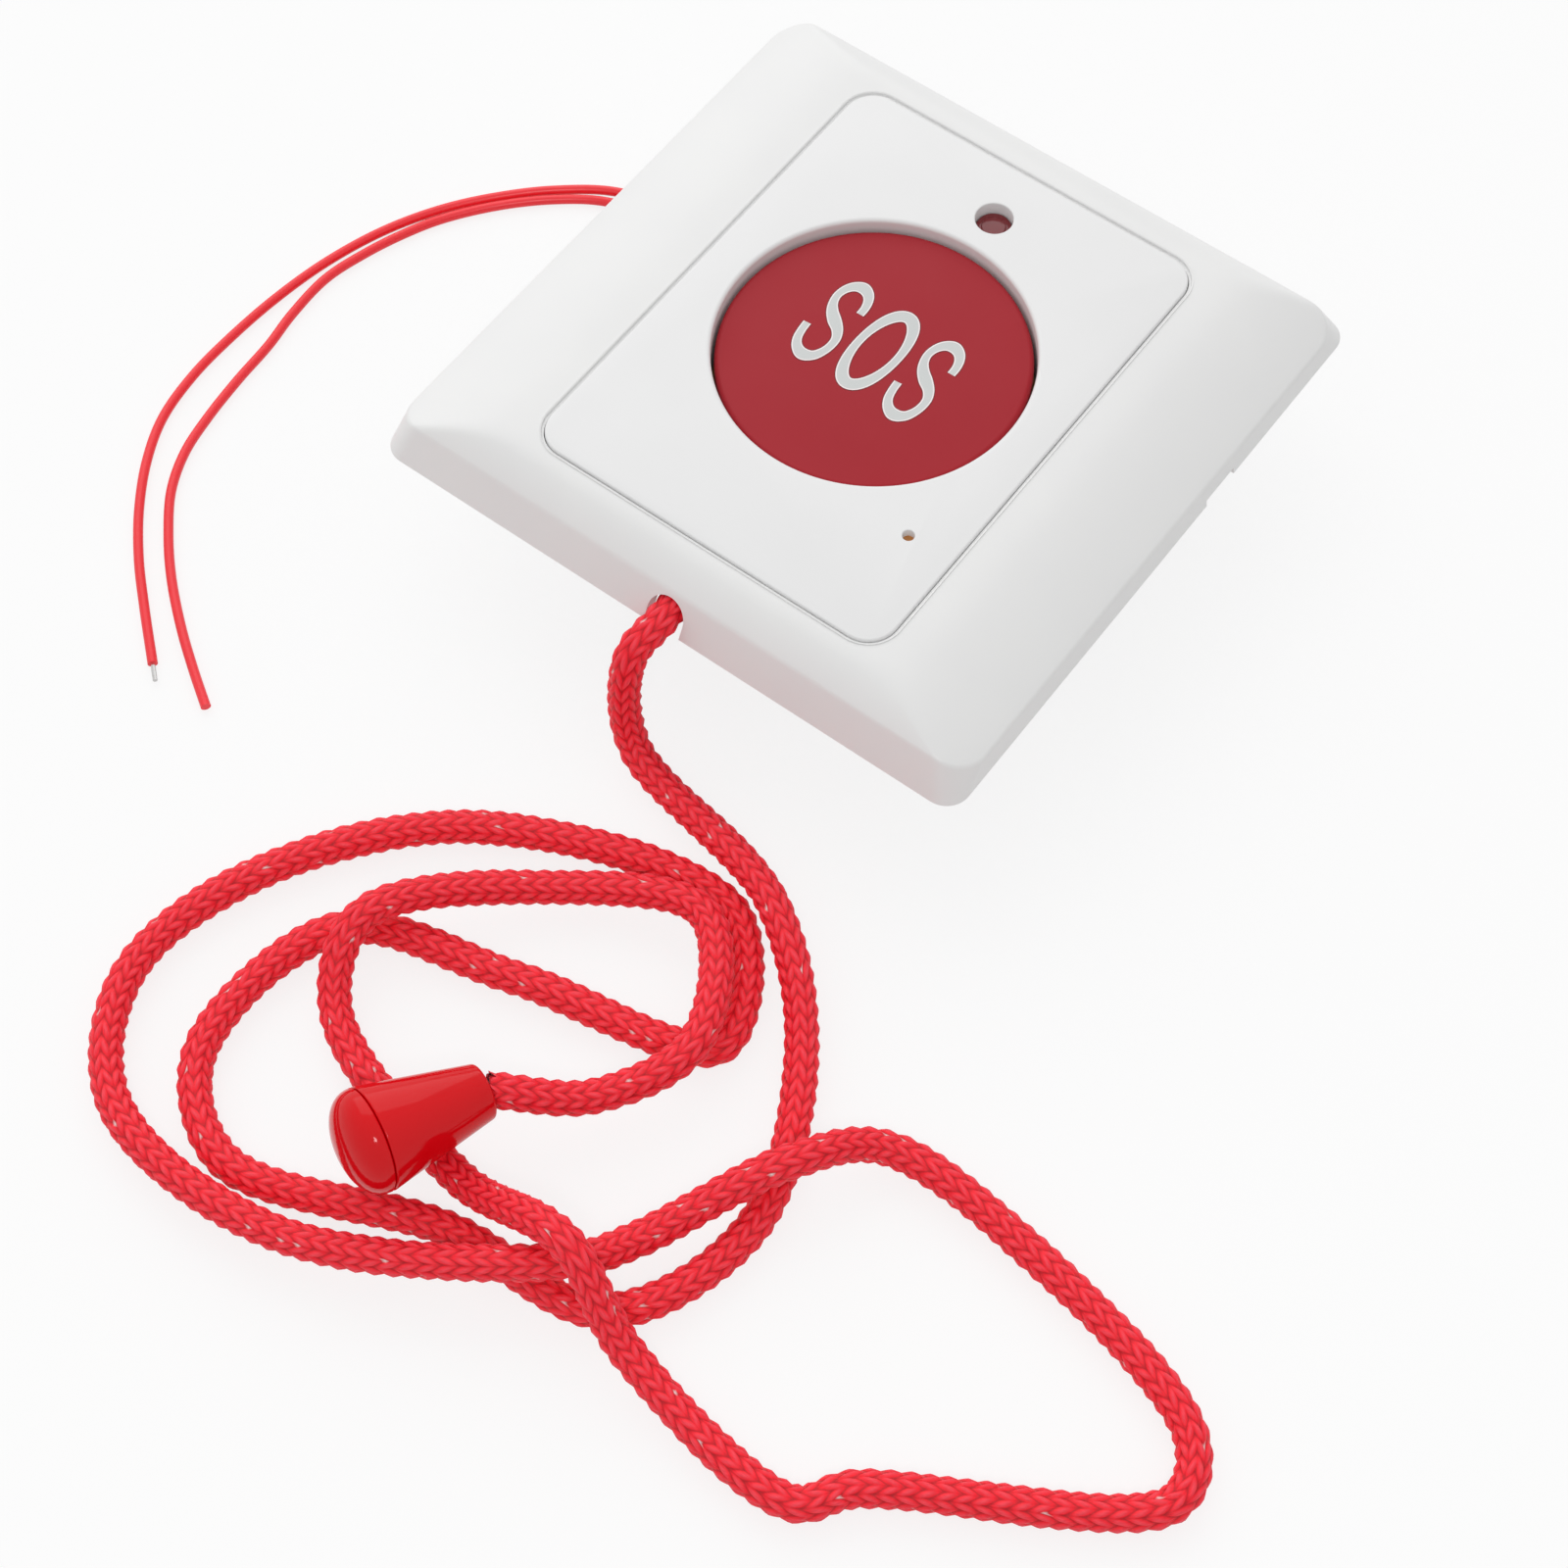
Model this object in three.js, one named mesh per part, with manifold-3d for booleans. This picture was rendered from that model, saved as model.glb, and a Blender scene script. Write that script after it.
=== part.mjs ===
// Emergency pull cord alarm: a square wall plate with a round push button, an indicator lamp,
// a cord that leaves through a notch in the lower rim and a pear-shaped pull knob.
// Millimetres. The plate lies on the back of its rear housing: +Z out of the front face, +Y towards the lamp.
// The origin is on the table plane, under the middle of the plate.

import * as THREE from 'three';
import { mergeVertices } from 'three/addons/utils/BufferGeometryUtils.js';
import Module from 'manifold-3d';

const wasm = await Module();
wasm.setup();

// Plate: the standard 86 mm square wall plate
const PLATE_SIDE = 86;
const PLATE_CORNER_R = 3.5;
const REAR_DEPTH = 18;
const PLATE_RISE = 7.4;
const FRAME_WALL = 2;
const SIDE_RIM_RISE = 3.4;
const SIDE_RIM_DRAFT = 0.5;
const END_RIM_RISE = 4.9;
const END_RIM_DRAFT = 2.5;
const SLOPE_START_X = 25.6;
const SLOPE_START_Y = 34.4;
const CREASE_SOFTNESS = 0.7;

// Front panel, which stands in the frame's window with a fine groove around it
const PANEL_WIDTH = 51.1;
const PANEL_HEIGHT = 68.4;
const PANEL_CORNER_R = 4;
const PANEL_WALL = 2;
const GROOVE = 0.4;
const WINDOW_LIP_WALL = 1.4;
const WINDOW_LIP_DEPTH = 4.4;
const EDGE_BREAK = 0.3;

// Mounting flange behind the frame, with slots at the usual 60.3 mm wall screw spacing
const FLANGE_SIDE = 76;
const FLANGE_THICKNESS = 2.2;
const FLANGE_SHELF_Y = 28.6;
const WALL_SCREW_SPACING = 60.3;
const WALL_SLOT_WIDTH = 4.6;
const WALL_SLOT_LENGTH = 8;

// Snap hooks of the frame on the flange's edges
const HOOK_WIDTH = 8;
const HOOK_OFFSET_Y = 20;
const HOOK_THICKNESS = 1.3;
const HOOK_BARB = 0.9;
const HOOK_BARB_HEIGHT = 0.7;
const HOOK_LAND = 1.2;

// Rear housing
const REAR_HALF_WIDTH = 28;
const REAR_LOW_Y = -29;
const REAR_HIGH_Y = 31.5;
const REAR_WALL = 2;
const REAR_CORNER_R = 4;
const REAR_VENT_COUNT = 5;
const REAR_VENT_WIDTH = 1.6;
const REAR_VENT_LENGTH = 12;
const REAR_VENT_PITCH = 3.6;

// Push button, in a round well of the front panel
const BUTTON_R = 19.6;
const BUTTON_GAP = 0.4;
const BUTTON_CENTRE_Y = 0.7;
const BUTTON_RECESS = 1.4;
const BUTTON_THICKNESS = 2.3;
const BUTTON_EDGE_R = 0.7;
const BUTTON_TRAVEL = 1.2;
const BUTTON_LEG_RING_R = 15.5;
const BUTTON_LEG_WIDTH = 3;
const BUTTON_LEG_THICKNESS = 1.6;
const BUTTON_LEG_BARB = 0.7;
const WELL_WALL = 1.5;
const WELL_LIP_R = 0.5;

// Indicator lamp and pinhole
const LAMP_X = 0.1;
const LAMP_Y = 26.1;
const LAMP_R = 2.35;
const LAMP_FLANGE_R = 2.7;
const LAMP_FLANGE_THICKNESS = 0.8;
const LAMP_HOLE_R = 2.55;
const LAMP_RECESS = 1.7;
const LAMP_TUBE_WALL = 0.8;
const LAMP_TUBE_LENGTH = 2;
const PINHOLE_X = 19.2;
const PINHOLE_Y = -18.9;
const PINHOLE_R = 0.75;

// Circuit board
const BOARD_THICKNESS = 1.6;
const BOARD_HALF_WIDTH = 22;
const BOARD_LOW_Y = -20.7;
const BOARD_HIGH_Y = 28.3;
const BOARD_NECK_HALF_WIDTH = 16.5;
const BOARD_NECK_Y = 22.8;
const BOARD_SCREW_X = 19.6;
const BOARD_SCREW_YS = [ - 14.5, 17.5 ];
const BOARD_BOSS_R = 2;

// Screws of the rear housing and of the board
const COVER_SCREW_X = 20.8;
const COVER_SCREW_YS = [ - 24.5, 26.3 ];
const COVER_POST_R = 2.6;
const COVER_SCREW = { shankR: 1.1, headR: 2.1, headHeight: 1.3, length: 21.2 };
const BOARD_SCREW = { shankR: 0.85, headR: 1.7, headHeight: 1.1, length: 6.2 };
const SCREW_RECESS_WIDTH = 0.5;

// Pull cord and its notch in the lower rim
const CORD_DIAMETER = 4.6;
const CORD_X = 0.7;
const CORD_Z_OVER_WALL = 1.6;
const CORD_CLEARANCE = 0.3;
const CORD_STEPS = 81;
const CORD_SIDES = 10;
const PRY_SLOT_Y = 13.2;
const PRY_SLOT_WIDTH = 6;
const PRY_SLOT_HEIGHT = 1;

// Pull lever: the cord's clamp sits behind its fork, and its inner arm lifts the pull switch's plunger
const PIVOT_Y = -26;
const PIVOT_Z = 8;
const PIVOT_R = 1;
const PIVOT_CLEARANCE = 0.08;
const LEVER_WIDTH = 8;
const LEVER_THICKNESS = 3;
const LEVER_HUB_R = 2.4;
const LEVER_ARM_WIDTH = 5;
const LEVER_ARM_END_Y = -6.6;
const LEVER_ARM_TOP = 1.5;
const LEVER_ARM_THICKNESS = 2.5;
const FORK_TOP = 2.6;
const CLAMP_R = 2.8;
const CLAMP_LENGTH = 3;
const CLAMP_STANDOFF = 0.5;
const CHEEK_THICKNESS = 2.4;
const CHEEK_TOP = 3;
const CHEEK_DEPTH = 5;
const LEVER_SIDE_GAP = 0.4;

// Switches under the lever and under the button
const PULL_SWITCH_SIZE = { x: 12.8, y: 5.8, z: 4 };
const PULL_SWITCH_Y = -17.8;
const PULL_PLUNGER_R = 1.2;
const PRESS_SWITCH_SIDE = 6;
const PRESS_SWITCH_HEIGHT = 1.8;
const PRESS_PLUNGER_R = 1.7;
const PLUNGER_CLEARANCE = 0.12;
const PLUNGER_GAP = 0.3;

// Coil springs
const BUTTON_SPRING = { radius: 7.5, wire: 0.8, turns: 2.5, steps: 36 };
const LEVER_SPRING = { radius: 1.9, wire: 0.6, turns: 5, steps: 45 };
const LEVER_SPRING_Y = -10;

// Terminal block, its wires and their grommet in the rear housing's side
const TERMINAL_SIZE = { x: 8, y: 10, z: 8 };
const TERMINAL_CENTRE_X = -4;
const TERMINAL_CENTRE_Y = 17.5;
const TERMINAL_PITCH = 5;
const TERMINAL_SCREW_R = 1.5;
const WIRE_DIAMETER = 1.3;
const WIRE_STEPS = 46;
const STRAND_DIAMETER = 0.6;
const STRAND_LENGTH = 2.2;
const GROMMET_Y = 17.05;
const GROMMET_Z = 5.5;
const GROMMET_SLOT = { width: 4.4, height: 2.8 };
const GROMMET_WALL = 1;
const GROMMET_FLANGE = 0.9;
const RESISTOR_R = 1;
const RESISTOR_LENGTH = 6;

// Pull knob: a hollow cone, closed by a domed cap
const KNOB_SMALL_R = 3.4;
const KNOB_LARGE_R = 6.2;
const KNOB_LENGTH = 14.5;
const KNOB_WALL = 1.2;
const KNOB_DOME_HEIGHT = 5.4;
const KNOB_SPIGOT_LENGTH = 2;
const KNOB_EDGE_R = 0.5;
const KNOB_SMALL_END = new THREE.Vector3( 18.55, - 98.83, 9 );
const KNOB_AZIMUTH = - 112.9;
const KNOB_ELEVATION = 10.9;
const KNOT_R = 3.7;

// Seats: flat faces that rest on each other keep this much
const SEAT = 0.1;

// The cord's route from the clamp to the knob, as it lies in the photograph
const CORD_ROUTE = [
	[ 0.7, - 24.3, 19.6 ], [ 0.7, - 37, 19.6 ], [ 0.6, - 42.8, 19.5 ], [ - 0.3, - 47.6, 16.8 ],
	[ 2.8, - 51.7, 4.1 ], [ 29.4, - 59.4, 5.9 ], [ 43, - 72, 3 ], [ 50.9, - 92.1, 2.5 ],
	[ 43.9, - 109.3, 2.4 ], [ 23.5, - 112.4, 2.4 ], [ - 2.2, - 121.1, 2.4 ], [ - 13.3, - 112.6, 2.4 ],
	[ - 10.7, - 91.2, 2.4 ], [ 10.2, - 83.7, 2.4 ], [ 34.6, - 76.3, 2.4 ], [ 25.2, - 61.6, 2.35 ],
	[ - 6.2, - 70.9, 2.4 ], [ - 23.5, - 91.9, 2.4 ], [ - 26.7, - 110.2, 2.4 ], [ - 16.7, - 123.4, 2.8 ],
	[ 9.2, - 124.7, 4.6 ], [ 37.7, - 108.9, 7.3 ], [ 41.7, - 101.7, 4.4 ], [ 50.8, - 84.7, 7.5 ],
	[ 57.4, - 75.7, 3.7 ], [ 76.8, - 75.5, 2.5 ], [ 103.4, - 82.7, 2.4 ], [ 105.9, - 89.9, 2.4 ],
	[ 77.6, - 109.1, 2.5 ], [ 73.1, - 114.3, 2.5 ], [ 49.4, - 112.2, 4.7 ], [ 38.1, - 108.3, 12.7 ],
	[ 21.2, - 107.3, 4.3 ], [ - 3.8, - 99.6, 3 ], [ - 7.5, - 89.6, 7.3 ], [ 7.1, - 72.3, 4.2 ],
	[ 23.7, - 65.2, 5.9 ], [ 33.4, - 79.6, 7.3 ], [ 27.8, - 90.9, 5.6 ], [ 18.7, - 98.5, 8.9 ],
];

// The two lead wires, from the terminal block to their free ends
const WIRE_1_ROUTE = [
	[ - 8.3, 20, 11 ], [ - 13, 19.6, 9.8 ], [ - 19, 18.6, 6.8 ], [ - 24.5, 17.95, 5.6 ],
	[ - 29.5, 17.9, 5.3 ], [ - 34, 18.1, 3 ], [ - 39, 18.6, 0.9 ], [ - 46, 18.9, 0.7 ],
	[ - 54.5, 16.7, 0.7 ], [ - 61.3, 12, 0.7 ], [ - 66.8, 6.5, 0.7 ], [ - 71.6, 0.2, 0.7 ],
	[ - 75.5, - 7.3, 0.7 ], [ - 78.2, - 15.9, 0.7 ], [ - 79.6, - 24.5, 0.7 ], [ - 80.1, - 32.9, 0.7 ],
	[ - 79.9, - 40.6, 0.7 ], [ - 78.5, - 48, 0.7 ], [ - 75.6, - 54.2, 0.7 ], [ - 71.2, - 60.5, 0.7 ],
	[ - 66.1, - 66.1, 0.7 ], [ - 60.9, - 70.8, 0.7 ], [ - 54.1, - 76.6, 0.7 ],
];
const WIRE_2_ROUTE = [
	[ - 8.3, 15, 11 ], [ - 13, 15.4, 9.8 ], [ - 19, 15.9, 6.8 ], [ - 24.5, 16.2, 5.6 ],
	[ - 29.5, 16.2, 5.3 ], [ - 34, 16.2, 3 ], [ - 39, 16.5, 0.9 ], [ - 46, 16.8, 0.7 ],
	[ - 54.6, 14.5, 0.7 ], [ - 60.3, 10.7, 0.7 ], [ - 65.8, 5.3, 0.7 ], [ - 70.5, - 1.1, 0.7 ],
	[ - 73, - 6.2, 0.7 ], [ - 75, - 11.8, 0.7 ], [ - 76.4, - 18, 0.7 ], [ - 76.1, - 25.3, 0.7 ],
	[ - 75.2, - 30.9, 0.7 ], [ - 74.7, - 37.5, 0.7 ], [ - 73.8, - 44.5, 0.7 ], [ - 72.5, - 50.3, 0.7 ],
	[ - 69.9, - 55.8, 0.7 ], [ - 65.4, - 61.3, 0.7 ], [ - 60.8, - 65.8, 0.7 ], [ - 54.9, - 70.5, 0.7 ],
	[ - 49.5, - 74.2, 0.7 ], [ - 44.6, - 77.3, 0.7 ],
];

// Heights and places that follow from the sizes above
const WALL_Z = REAR_DEPTH;
const FACE_Z = WALL_Z + PLATE_RISE;
const PANEL_UNDERSIDE_Z = FACE_Z - PANEL_WALL;
const FLANGE_TOP_Z = WALL_Z + FLANGE_THICKNESS;
const BOARD_TOP_Z = WALL_Z - SEAT;
const BOARD_UNDERSIDE_Z = BOARD_TOP_Z - BOARD_THICKNESS;
const BUTTON_TOP_Z = FACE_Z - BUTTON_RECESS;
const BUTTON_UNDERSIDE_Z = BUTTON_TOP_Z - BUTTON_THICKNESS;
const WELL_R = BUTTON_R + BUTTON_GAP;
const CORD_R = CORD_DIAMETER / 2;
const CORD_Z = WALL_Z + CORD_Z_OVER_WALL;
const NOTCH_R = CORD_R + CORD_CLEARANCE;
const LEVER_ARM_TOP_Z = PIVOT_Z + LEVER_ARM_TOP;
const OVERRUN = 1;

const FINISH = {
	ivoryPlastic: { color: 0xe7e7e6, roughness: 0.38, metalness: 0 },
	panelPlastic: { color: 0xe9e9e9, roughness: 0.42, metalness: 0 },
	housingPlastic: { color: 0xdedede, roughness: 0.5, metalness: 0 },
	redButton: { color: 0xa53b43, roughness: 0.45, metalness: 0 },
	redKnob: { color: 0xc9111a, roughness: 0.15, metalness: 0 },
	redCord: { color: 0xf1303f, roughness: 0.85, metalness: 0 },
	redWire: { color: 0xf02832, roughness: 0.35, metalness: 0 },
	redLamp: { color: 0x883f42, roughness: 0.2, metalness: 0 },
	board: { color: 0xb07a3c, roughness: 0.6, metalness: 0 },
	blackPlastic: { color: 0x262626, roughness: 0.5, metalness: 0 },
	greenPlastic: { color: 0x2f7d4a, roughness: 0.5, metalness: 0 },
	whitePlastic: { color: 0xd9d9d6, roughness: 0.5, metalness: 0 },
	resistor: { color: 0xcdb68a, roughness: 0.5, metalness: 0 },
	rubber: { color: 0x2b2b2b, roughness: 0.8, metalness: 0 },
	steel: { color: 0xb8babd, roughness: 0.3, metalness: 1 },
	copper: { color: 0xb9b4ac, roughness: 0.35, metalness: 1 },
};

const group = new THREE.Group();

function addPiece( name, shape, finish ) {

	const geometry = shape.isBufferGeometry ? shape : geometryOf( shape );
	const mesh = new THREE.Mesh( geometry, new THREE.MeshStandardMaterial( finish ) );
	mesh.name = name;
	group.add( mesh );
	return mesh;

}

// A closed geometry as a solid, with shared vertices merged and the slivers at poles left out
function solid( geometry ) {

	const bare = geometry.clone();
	bare.deleteAttribute( 'normal' );
	bare.deleteAttribute( 'uv' );
	const merged = mergeVertices( bare, 1e-4 );
	const index = merged.index.array;
	const triVerts = [];
	for ( let i = 0; i < index.length; i += 3 ) {

		const [ a, b, c ] = [ index[ i ], index[ i + 1 ], index[ i + 2 ] ];
		if ( a !== b && b !== c && c !== a ) triVerts.push( a, b, c );

	}

	const mesh = new wasm.Mesh( {
		numProp: 3,
		vertProperties: new Float32Array( merged.attributes.position.array ),
		triVerts: new Uint32Array( triVerts ),
	} );
	return new wasm.Manifold( mesh );

}

function geometryOf( manifold ) {

	const mesh = manifold.getMesh();
	const geometry = new THREE.BufferGeometry();
	geometry.setAttribute( 'position', new THREE.BufferAttribute( mesh.vertProperties, 3 ) );
	geometry.setIndex( new THREE.BufferAttribute( mesh.triVerts, 1 ) );
	geometry.computeVertexNormals();
	return geometry;

}

function joined( solids ) {

	return solids.reduce( ( sum, one ) => sum.add( one ) );

}

function without( base, cuts ) {

	return cuts.reduce( ( rest, cut ) => rest.subtract( cut ), base );

}

// A rectangle with round corners, given by its sides
function roundedRectangle( x0, x1, y0, y1, r ) {

	const shape = new THREE.Shape();
	shape.moveTo( x0 + r, y0 );
	shape.lineTo( x1 - r, y0 );
	shape.absarc( x1 - r, y0 + r, r, - Math.PI / 2, 0 );
	shape.lineTo( x1, y1 - r );
	shape.absarc( x1 - r, y1 - r, r, 0, Math.PI / 2 );
	shape.lineTo( x0 + r, y1 );
	shape.absarc( x0 + r, y1 - r, r, Math.PI / 2, Math.PI );
	shape.lineTo( x0, y0 + r );
	shape.absarc( x0 + r, y0 + r, r, Math.PI, Math.PI * 1.5 );
	return shape;

}

function centredRectangle( width, height, r ) {

	return roundedRectangle( - width / 2, width / 2, - height / 2, height / 2, r );

}

function prism( shape, z0, z1, curveSegments = 6 ) {

	const geometry = new THREE.ExtrudeGeometry( shape, { depth: z1 - z0, bevelEnabled: false, curveSegments } );
	return solid( geometry.translate( 0, 0, z0 ) );

}

// A profile drawn in X and Z, run along Y
function prismAlongY( shape, y0, y1, curveSegments = 6 ) {

	const options = { depth: y1 - y0, bevelEnabled: false, curveSegments };
	const geometry = new THREE.ExtrudeGeometry( shape, options );
	return solid( geometry.rotateX( Math.PI / 2 ).translate( 0, y1, 0 ) );

}

// A profile drawn in Y and Z, run along X
function prismAlongX( shape, x0, x1, curveSegments = 6 ) {

	const options = { depth: x1 - x0, bevelEnabled: false, curveSegments };
	const geometry = new THREE.ExtrudeGeometry( shape, options );
	geometry.rotateX( Math.PI / 2 ).rotateZ( Math.PI / 2 );
	return solid( geometry.translate( x0, 0, 0 ) );

}

function block( x0, x1, y0, y1, z0, z1 ) {

	const geometry = new THREE.BoxGeometry( x1 - x0, y1 - y0, z1 - z0 );
	return solid( geometry.translate( ( x0 + x1 ) / 2, ( y0 + y1 ) / 2, ( z0 + z1 ) / 2 ) );

}

function upright( r, z0, z1, x, y, sides = 24 ) {

	const geometry = new THREE.CylinderGeometry( r, r, z1 - z0, sides );
	return solid( geometry.rotateX( Math.PI / 2 ).translate( x, y, ( z0 + z1 ) / 2 ) );

}

function crossways( r, x0, x1, y, z, sides = 24 ) {

	const geometry = new THREE.CylinderGeometry( r, r, x1 - x0, sides );
	return solid( geometry.rotateZ( Math.PI / 2 ).translate( ( x0 + x1 ) / 2, y, z ) );

}

// A turned piece about the Z axis, from its profile of [radius, height] points
function turned( profile, sides ) {

	const points = profile.map( ( [ r, z ] ) => new THREE.Vector2( r, z ) );
	return new THREE.LatheGeometry( points, sides ).rotateX( Math.PI / 2 );

}

// Points of a round edge in a turned profile, about a centre, from one angle to another in degrees
function roundEdge( centreR, centreZ, r, from, to, count ) {

	return Array.from( { length: count + 1 }, ( _, i ) => {

		const angle = THREE.MathUtils.degToRad( from + ( to - from ) * i / count );
		return [ centreR + r * Math.cos( angle ), centreZ + r * Math.sin( angle ) ];

	} );

}

function tube( curve, radius, sides, steps ) {

	const section = new THREE.Shape();
	for ( let i = 0; i < sides; i ++ ) {

		const angle = i / sides * Math.PI * 2;
		const [ x, y ] = [ radius * Math.cos( angle ), radius * Math.sin( angle ) ];
		if ( i === 0 ) section.moveTo( x, y ); else section.lineTo( x, y );

	}

	section.closePath();
	const options = { steps, bevelEnabled: false, extrudePath: curve, curveSegments: 1 };
	return solid( new THREE.ExtrudeGeometry( section, options ) );

}

function routeCurve( route ) {

	return new THREE.CatmullRomCurve3( route.map( ( p ) => new THREE.Vector3( ...p ) ), false, 'centripetal' );

}

function coilSpring( { radius, wire, turns, steps }, x, y, z0, z1 ) {

	const low = z0 + wire / 2;
	const rise = z1 - z0 - wire;
	const helix = Array.from( { length: steps + 1 }, ( _, i ) => {

		const angle = i / steps * turns * Math.PI * 2;
		return [ x + radius * Math.cos( angle ), y + radius * Math.sin( angle ), low + rise * i / steps ];

	} );
	return tube( routeCurve( helix ), wire / 2, 6, steps );

}

// A slot with round ends, drawn about its own centre
function stadium( width, height, cx = 0, cy = 0 ) {

	const r = Math.min( width, height ) / 2;
	return roundedRectangle( cx - width / 2, cx + width / 2, cy - height / 2, cy + height / 2, r );

}

// Half of a plate section: an upright rim with a soft crease, then a slope that eases into the flat face.
// It is mirrored to the other side.
function plateSection( half, base, top, rimRise, rimDraft, flatHalf ) {

	const rim = [ half - rimDraft, WALL_Z + rimRise ];
	const easeX = ( rim[ 0 ] + flatHalf ) / 2;
	const wallDirection = new THREE.Vector2( rimDraft, - rimRise ).normalize();
	const slopeDirection = new THREE.Vector2( easeX - rim[ 0 ], top - rim[ 1 ] ).normalize();
	const below = [ rim[ 0 ] + wallDirection.x * CREASE_SOFTNESS, rim[ 1 ] + wallDirection.y * CREASE_SOFTNESS ];
	const above = [ rim[ 0 ] + slopeDirection.x * CREASE_SOFTNESS, rim[ 1 ] + slopeDirection.y * CREASE_SOFTNESS ];
	const shape = new THREE.Shape();
	shape.moveTo( - half, base );
	shape.lineTo( half, base );
	shape.lineTo( half, WALL_Z );
	shape.lineTo( ...below );
	shape.quadraticCurveTo( ...rim, ...above );
	shape.quadraticCurveTo( easeX, top, flatHalf, top );
	shape.lineTo( - flatHalf, top );
	shape.quadraticCurveTo( - easeX, top, - above[ 0 ], above[ 1 ] );
	shape.quadraticCurveTo( - rim[ 0 ], rim[ 1 ], - below[ 0 ], below[ 1 ] );
	shape.lineTo( - half, WALL_Z );
	return shape;

}

// The plate's outer form, or its hollow when it is drawn in by a wall's thickness:
// a crowned section across X, cut by drafted ends across Y and by the plan's round corners
function plateForm( inset, base ) {

	const half = PLATE_SIDE / 2 - inset;
	const top = FACE_Z - inset;
	const crowned = plateSection( half, base, top, SIDE_RIM_RISE - inset, SIDE_RIM_DRAFT, SLOPE_START_X );
	const drafted = plateSection( half, base, top, END_RIM_RISE - inset, END_RIM_DRAFT, SLOPE_START_Y );
	const plan = centredRectangle( half * 2, half * 2, PLATE_CORNER_R - Math.min( inset, PLATE_CORNER_R / 2 ) );
	return prismAlongY( crowned, - half - OVERRUN, half + OVERRUN, 8 )
		.intersect( prismAlongX( drafted, - half - OVERRUN, half + OVERRUN, 8 ) )
		.intersect( prism( plan, base - OVERRUN, top + OVERRUN, 6 ) );

}

// The cord's way out: an arch that is open towards the wall
function cordTunnel( y0, y1 ) {

	const shape = new THREE.Shape();
	shape.moveTo( CORD_X - NOTCH_R, WALL_Z - OVERRUN );
	shape.lineTo( CORD_X + NOTCH_R, WALL_Z - OVERRUN );
	shape.lineTo( CORD_X + NOTCH_R, CORD_Z );
	shape.absarc( CORD_X, CORD_Z, NOTCH_R, 0, Math.PI );
	shape.lineTo( CORD_X - NOTCH_R, WALL_Z - OVERRUN );
	return prismAlongY( shape, y0, y1, 10 );

}

// One hook on the +X side, which reaches under the flange's thinned edge
function frameHook( y ) {

	const flangeEdge = FLANGE_SIDE / 2;
	const inner = flangeEdge + SEAT * 3;
	const barbTop = WALL_Z + SEAT + HOOK_BARB_HEIGHT;
	const shape = new THREE.Shape();
	shape.moveTo( inner - HOOK_BARB, WALL_Z + SEAT );
	shape.lineTo( inner + HOOK_THICKNESS, WALL_Z + SEAT );
	shape.lineTo( inner + HOOK_THICKNESS, FACE_Z );
	shape.lineTo( inner, FACE_Z );
	shape.lineTo( inner, barbTop );
	shape.lineTo( inner - HOOK_BARB, barbTop );
	return prismAlongY( shape, y - HOOK_WIDTH / 2, y + HOOK_WIDTH / 2 );

}

function buildFrontFrame() {

	const outer = plateForm( 0, WALL_Z );
	const hollow = plateForm( FRAME_WALL, WALL_Z - OVERRUN );
	const windowWidth = PANEL_WIDTH + GROOVE * 2;
	const windowHeight = PANEL_HEIGHT + GROOVE * 2;
	const windowR = PANEL_CORNER_R + GROOVE;
	const lipPlan = centredRectangle( windowWidth + WINDOW_LIP_WALL * 2, windowHeight + WINDOW_LIP_WALL * 2,
		windowR + WINDOW_LIP_WALL );
	const lip = prism( lipPlan, FACE_Z - WINDOW_LIP_DEPTH, FACE_Z ).intersect( outer );
	const right = [ HOOK_OFFSET_Y, - HOOK_OFFSET_Y ].map( frameHook );
	const left = right.map( ( hook ) => hook.mirror( [ 1, 0, 0 ] ) );
	const hooks = joined( [ ...right, ...left ] ).intersect( outer );
	const opening = prism( centredRectangle( windowWidth, windowHeight, windowR ), WALL_Z - OVERRUN, FACE_Z + OVERRUN );
	const halfPlate = PLATE_SIDE / 2;
	const prySlot = block( halfPlate - FRAME_WALL - OVERRUN, halfPlate + OVERRUN,
		PRY_SLOT_Y - PRY_SLOT_WIDTH / 2, PRY_SLOT_Y + PRY_SLOT_WIDTH / 2, WALL_Z - OVERRUN, WALL_Z + PRY_SLOT_HEIGHT );
	const cordNotch = cordTunnel( - halfPlate - OVERRUN, - windowHeight / 2 + OVERRUN );
	const shell = joined( [ outer.subtract( hollow ), lip, hooks ] );
	return without( shell, [ opening, prySlot, cordNotch ] );

}

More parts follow.
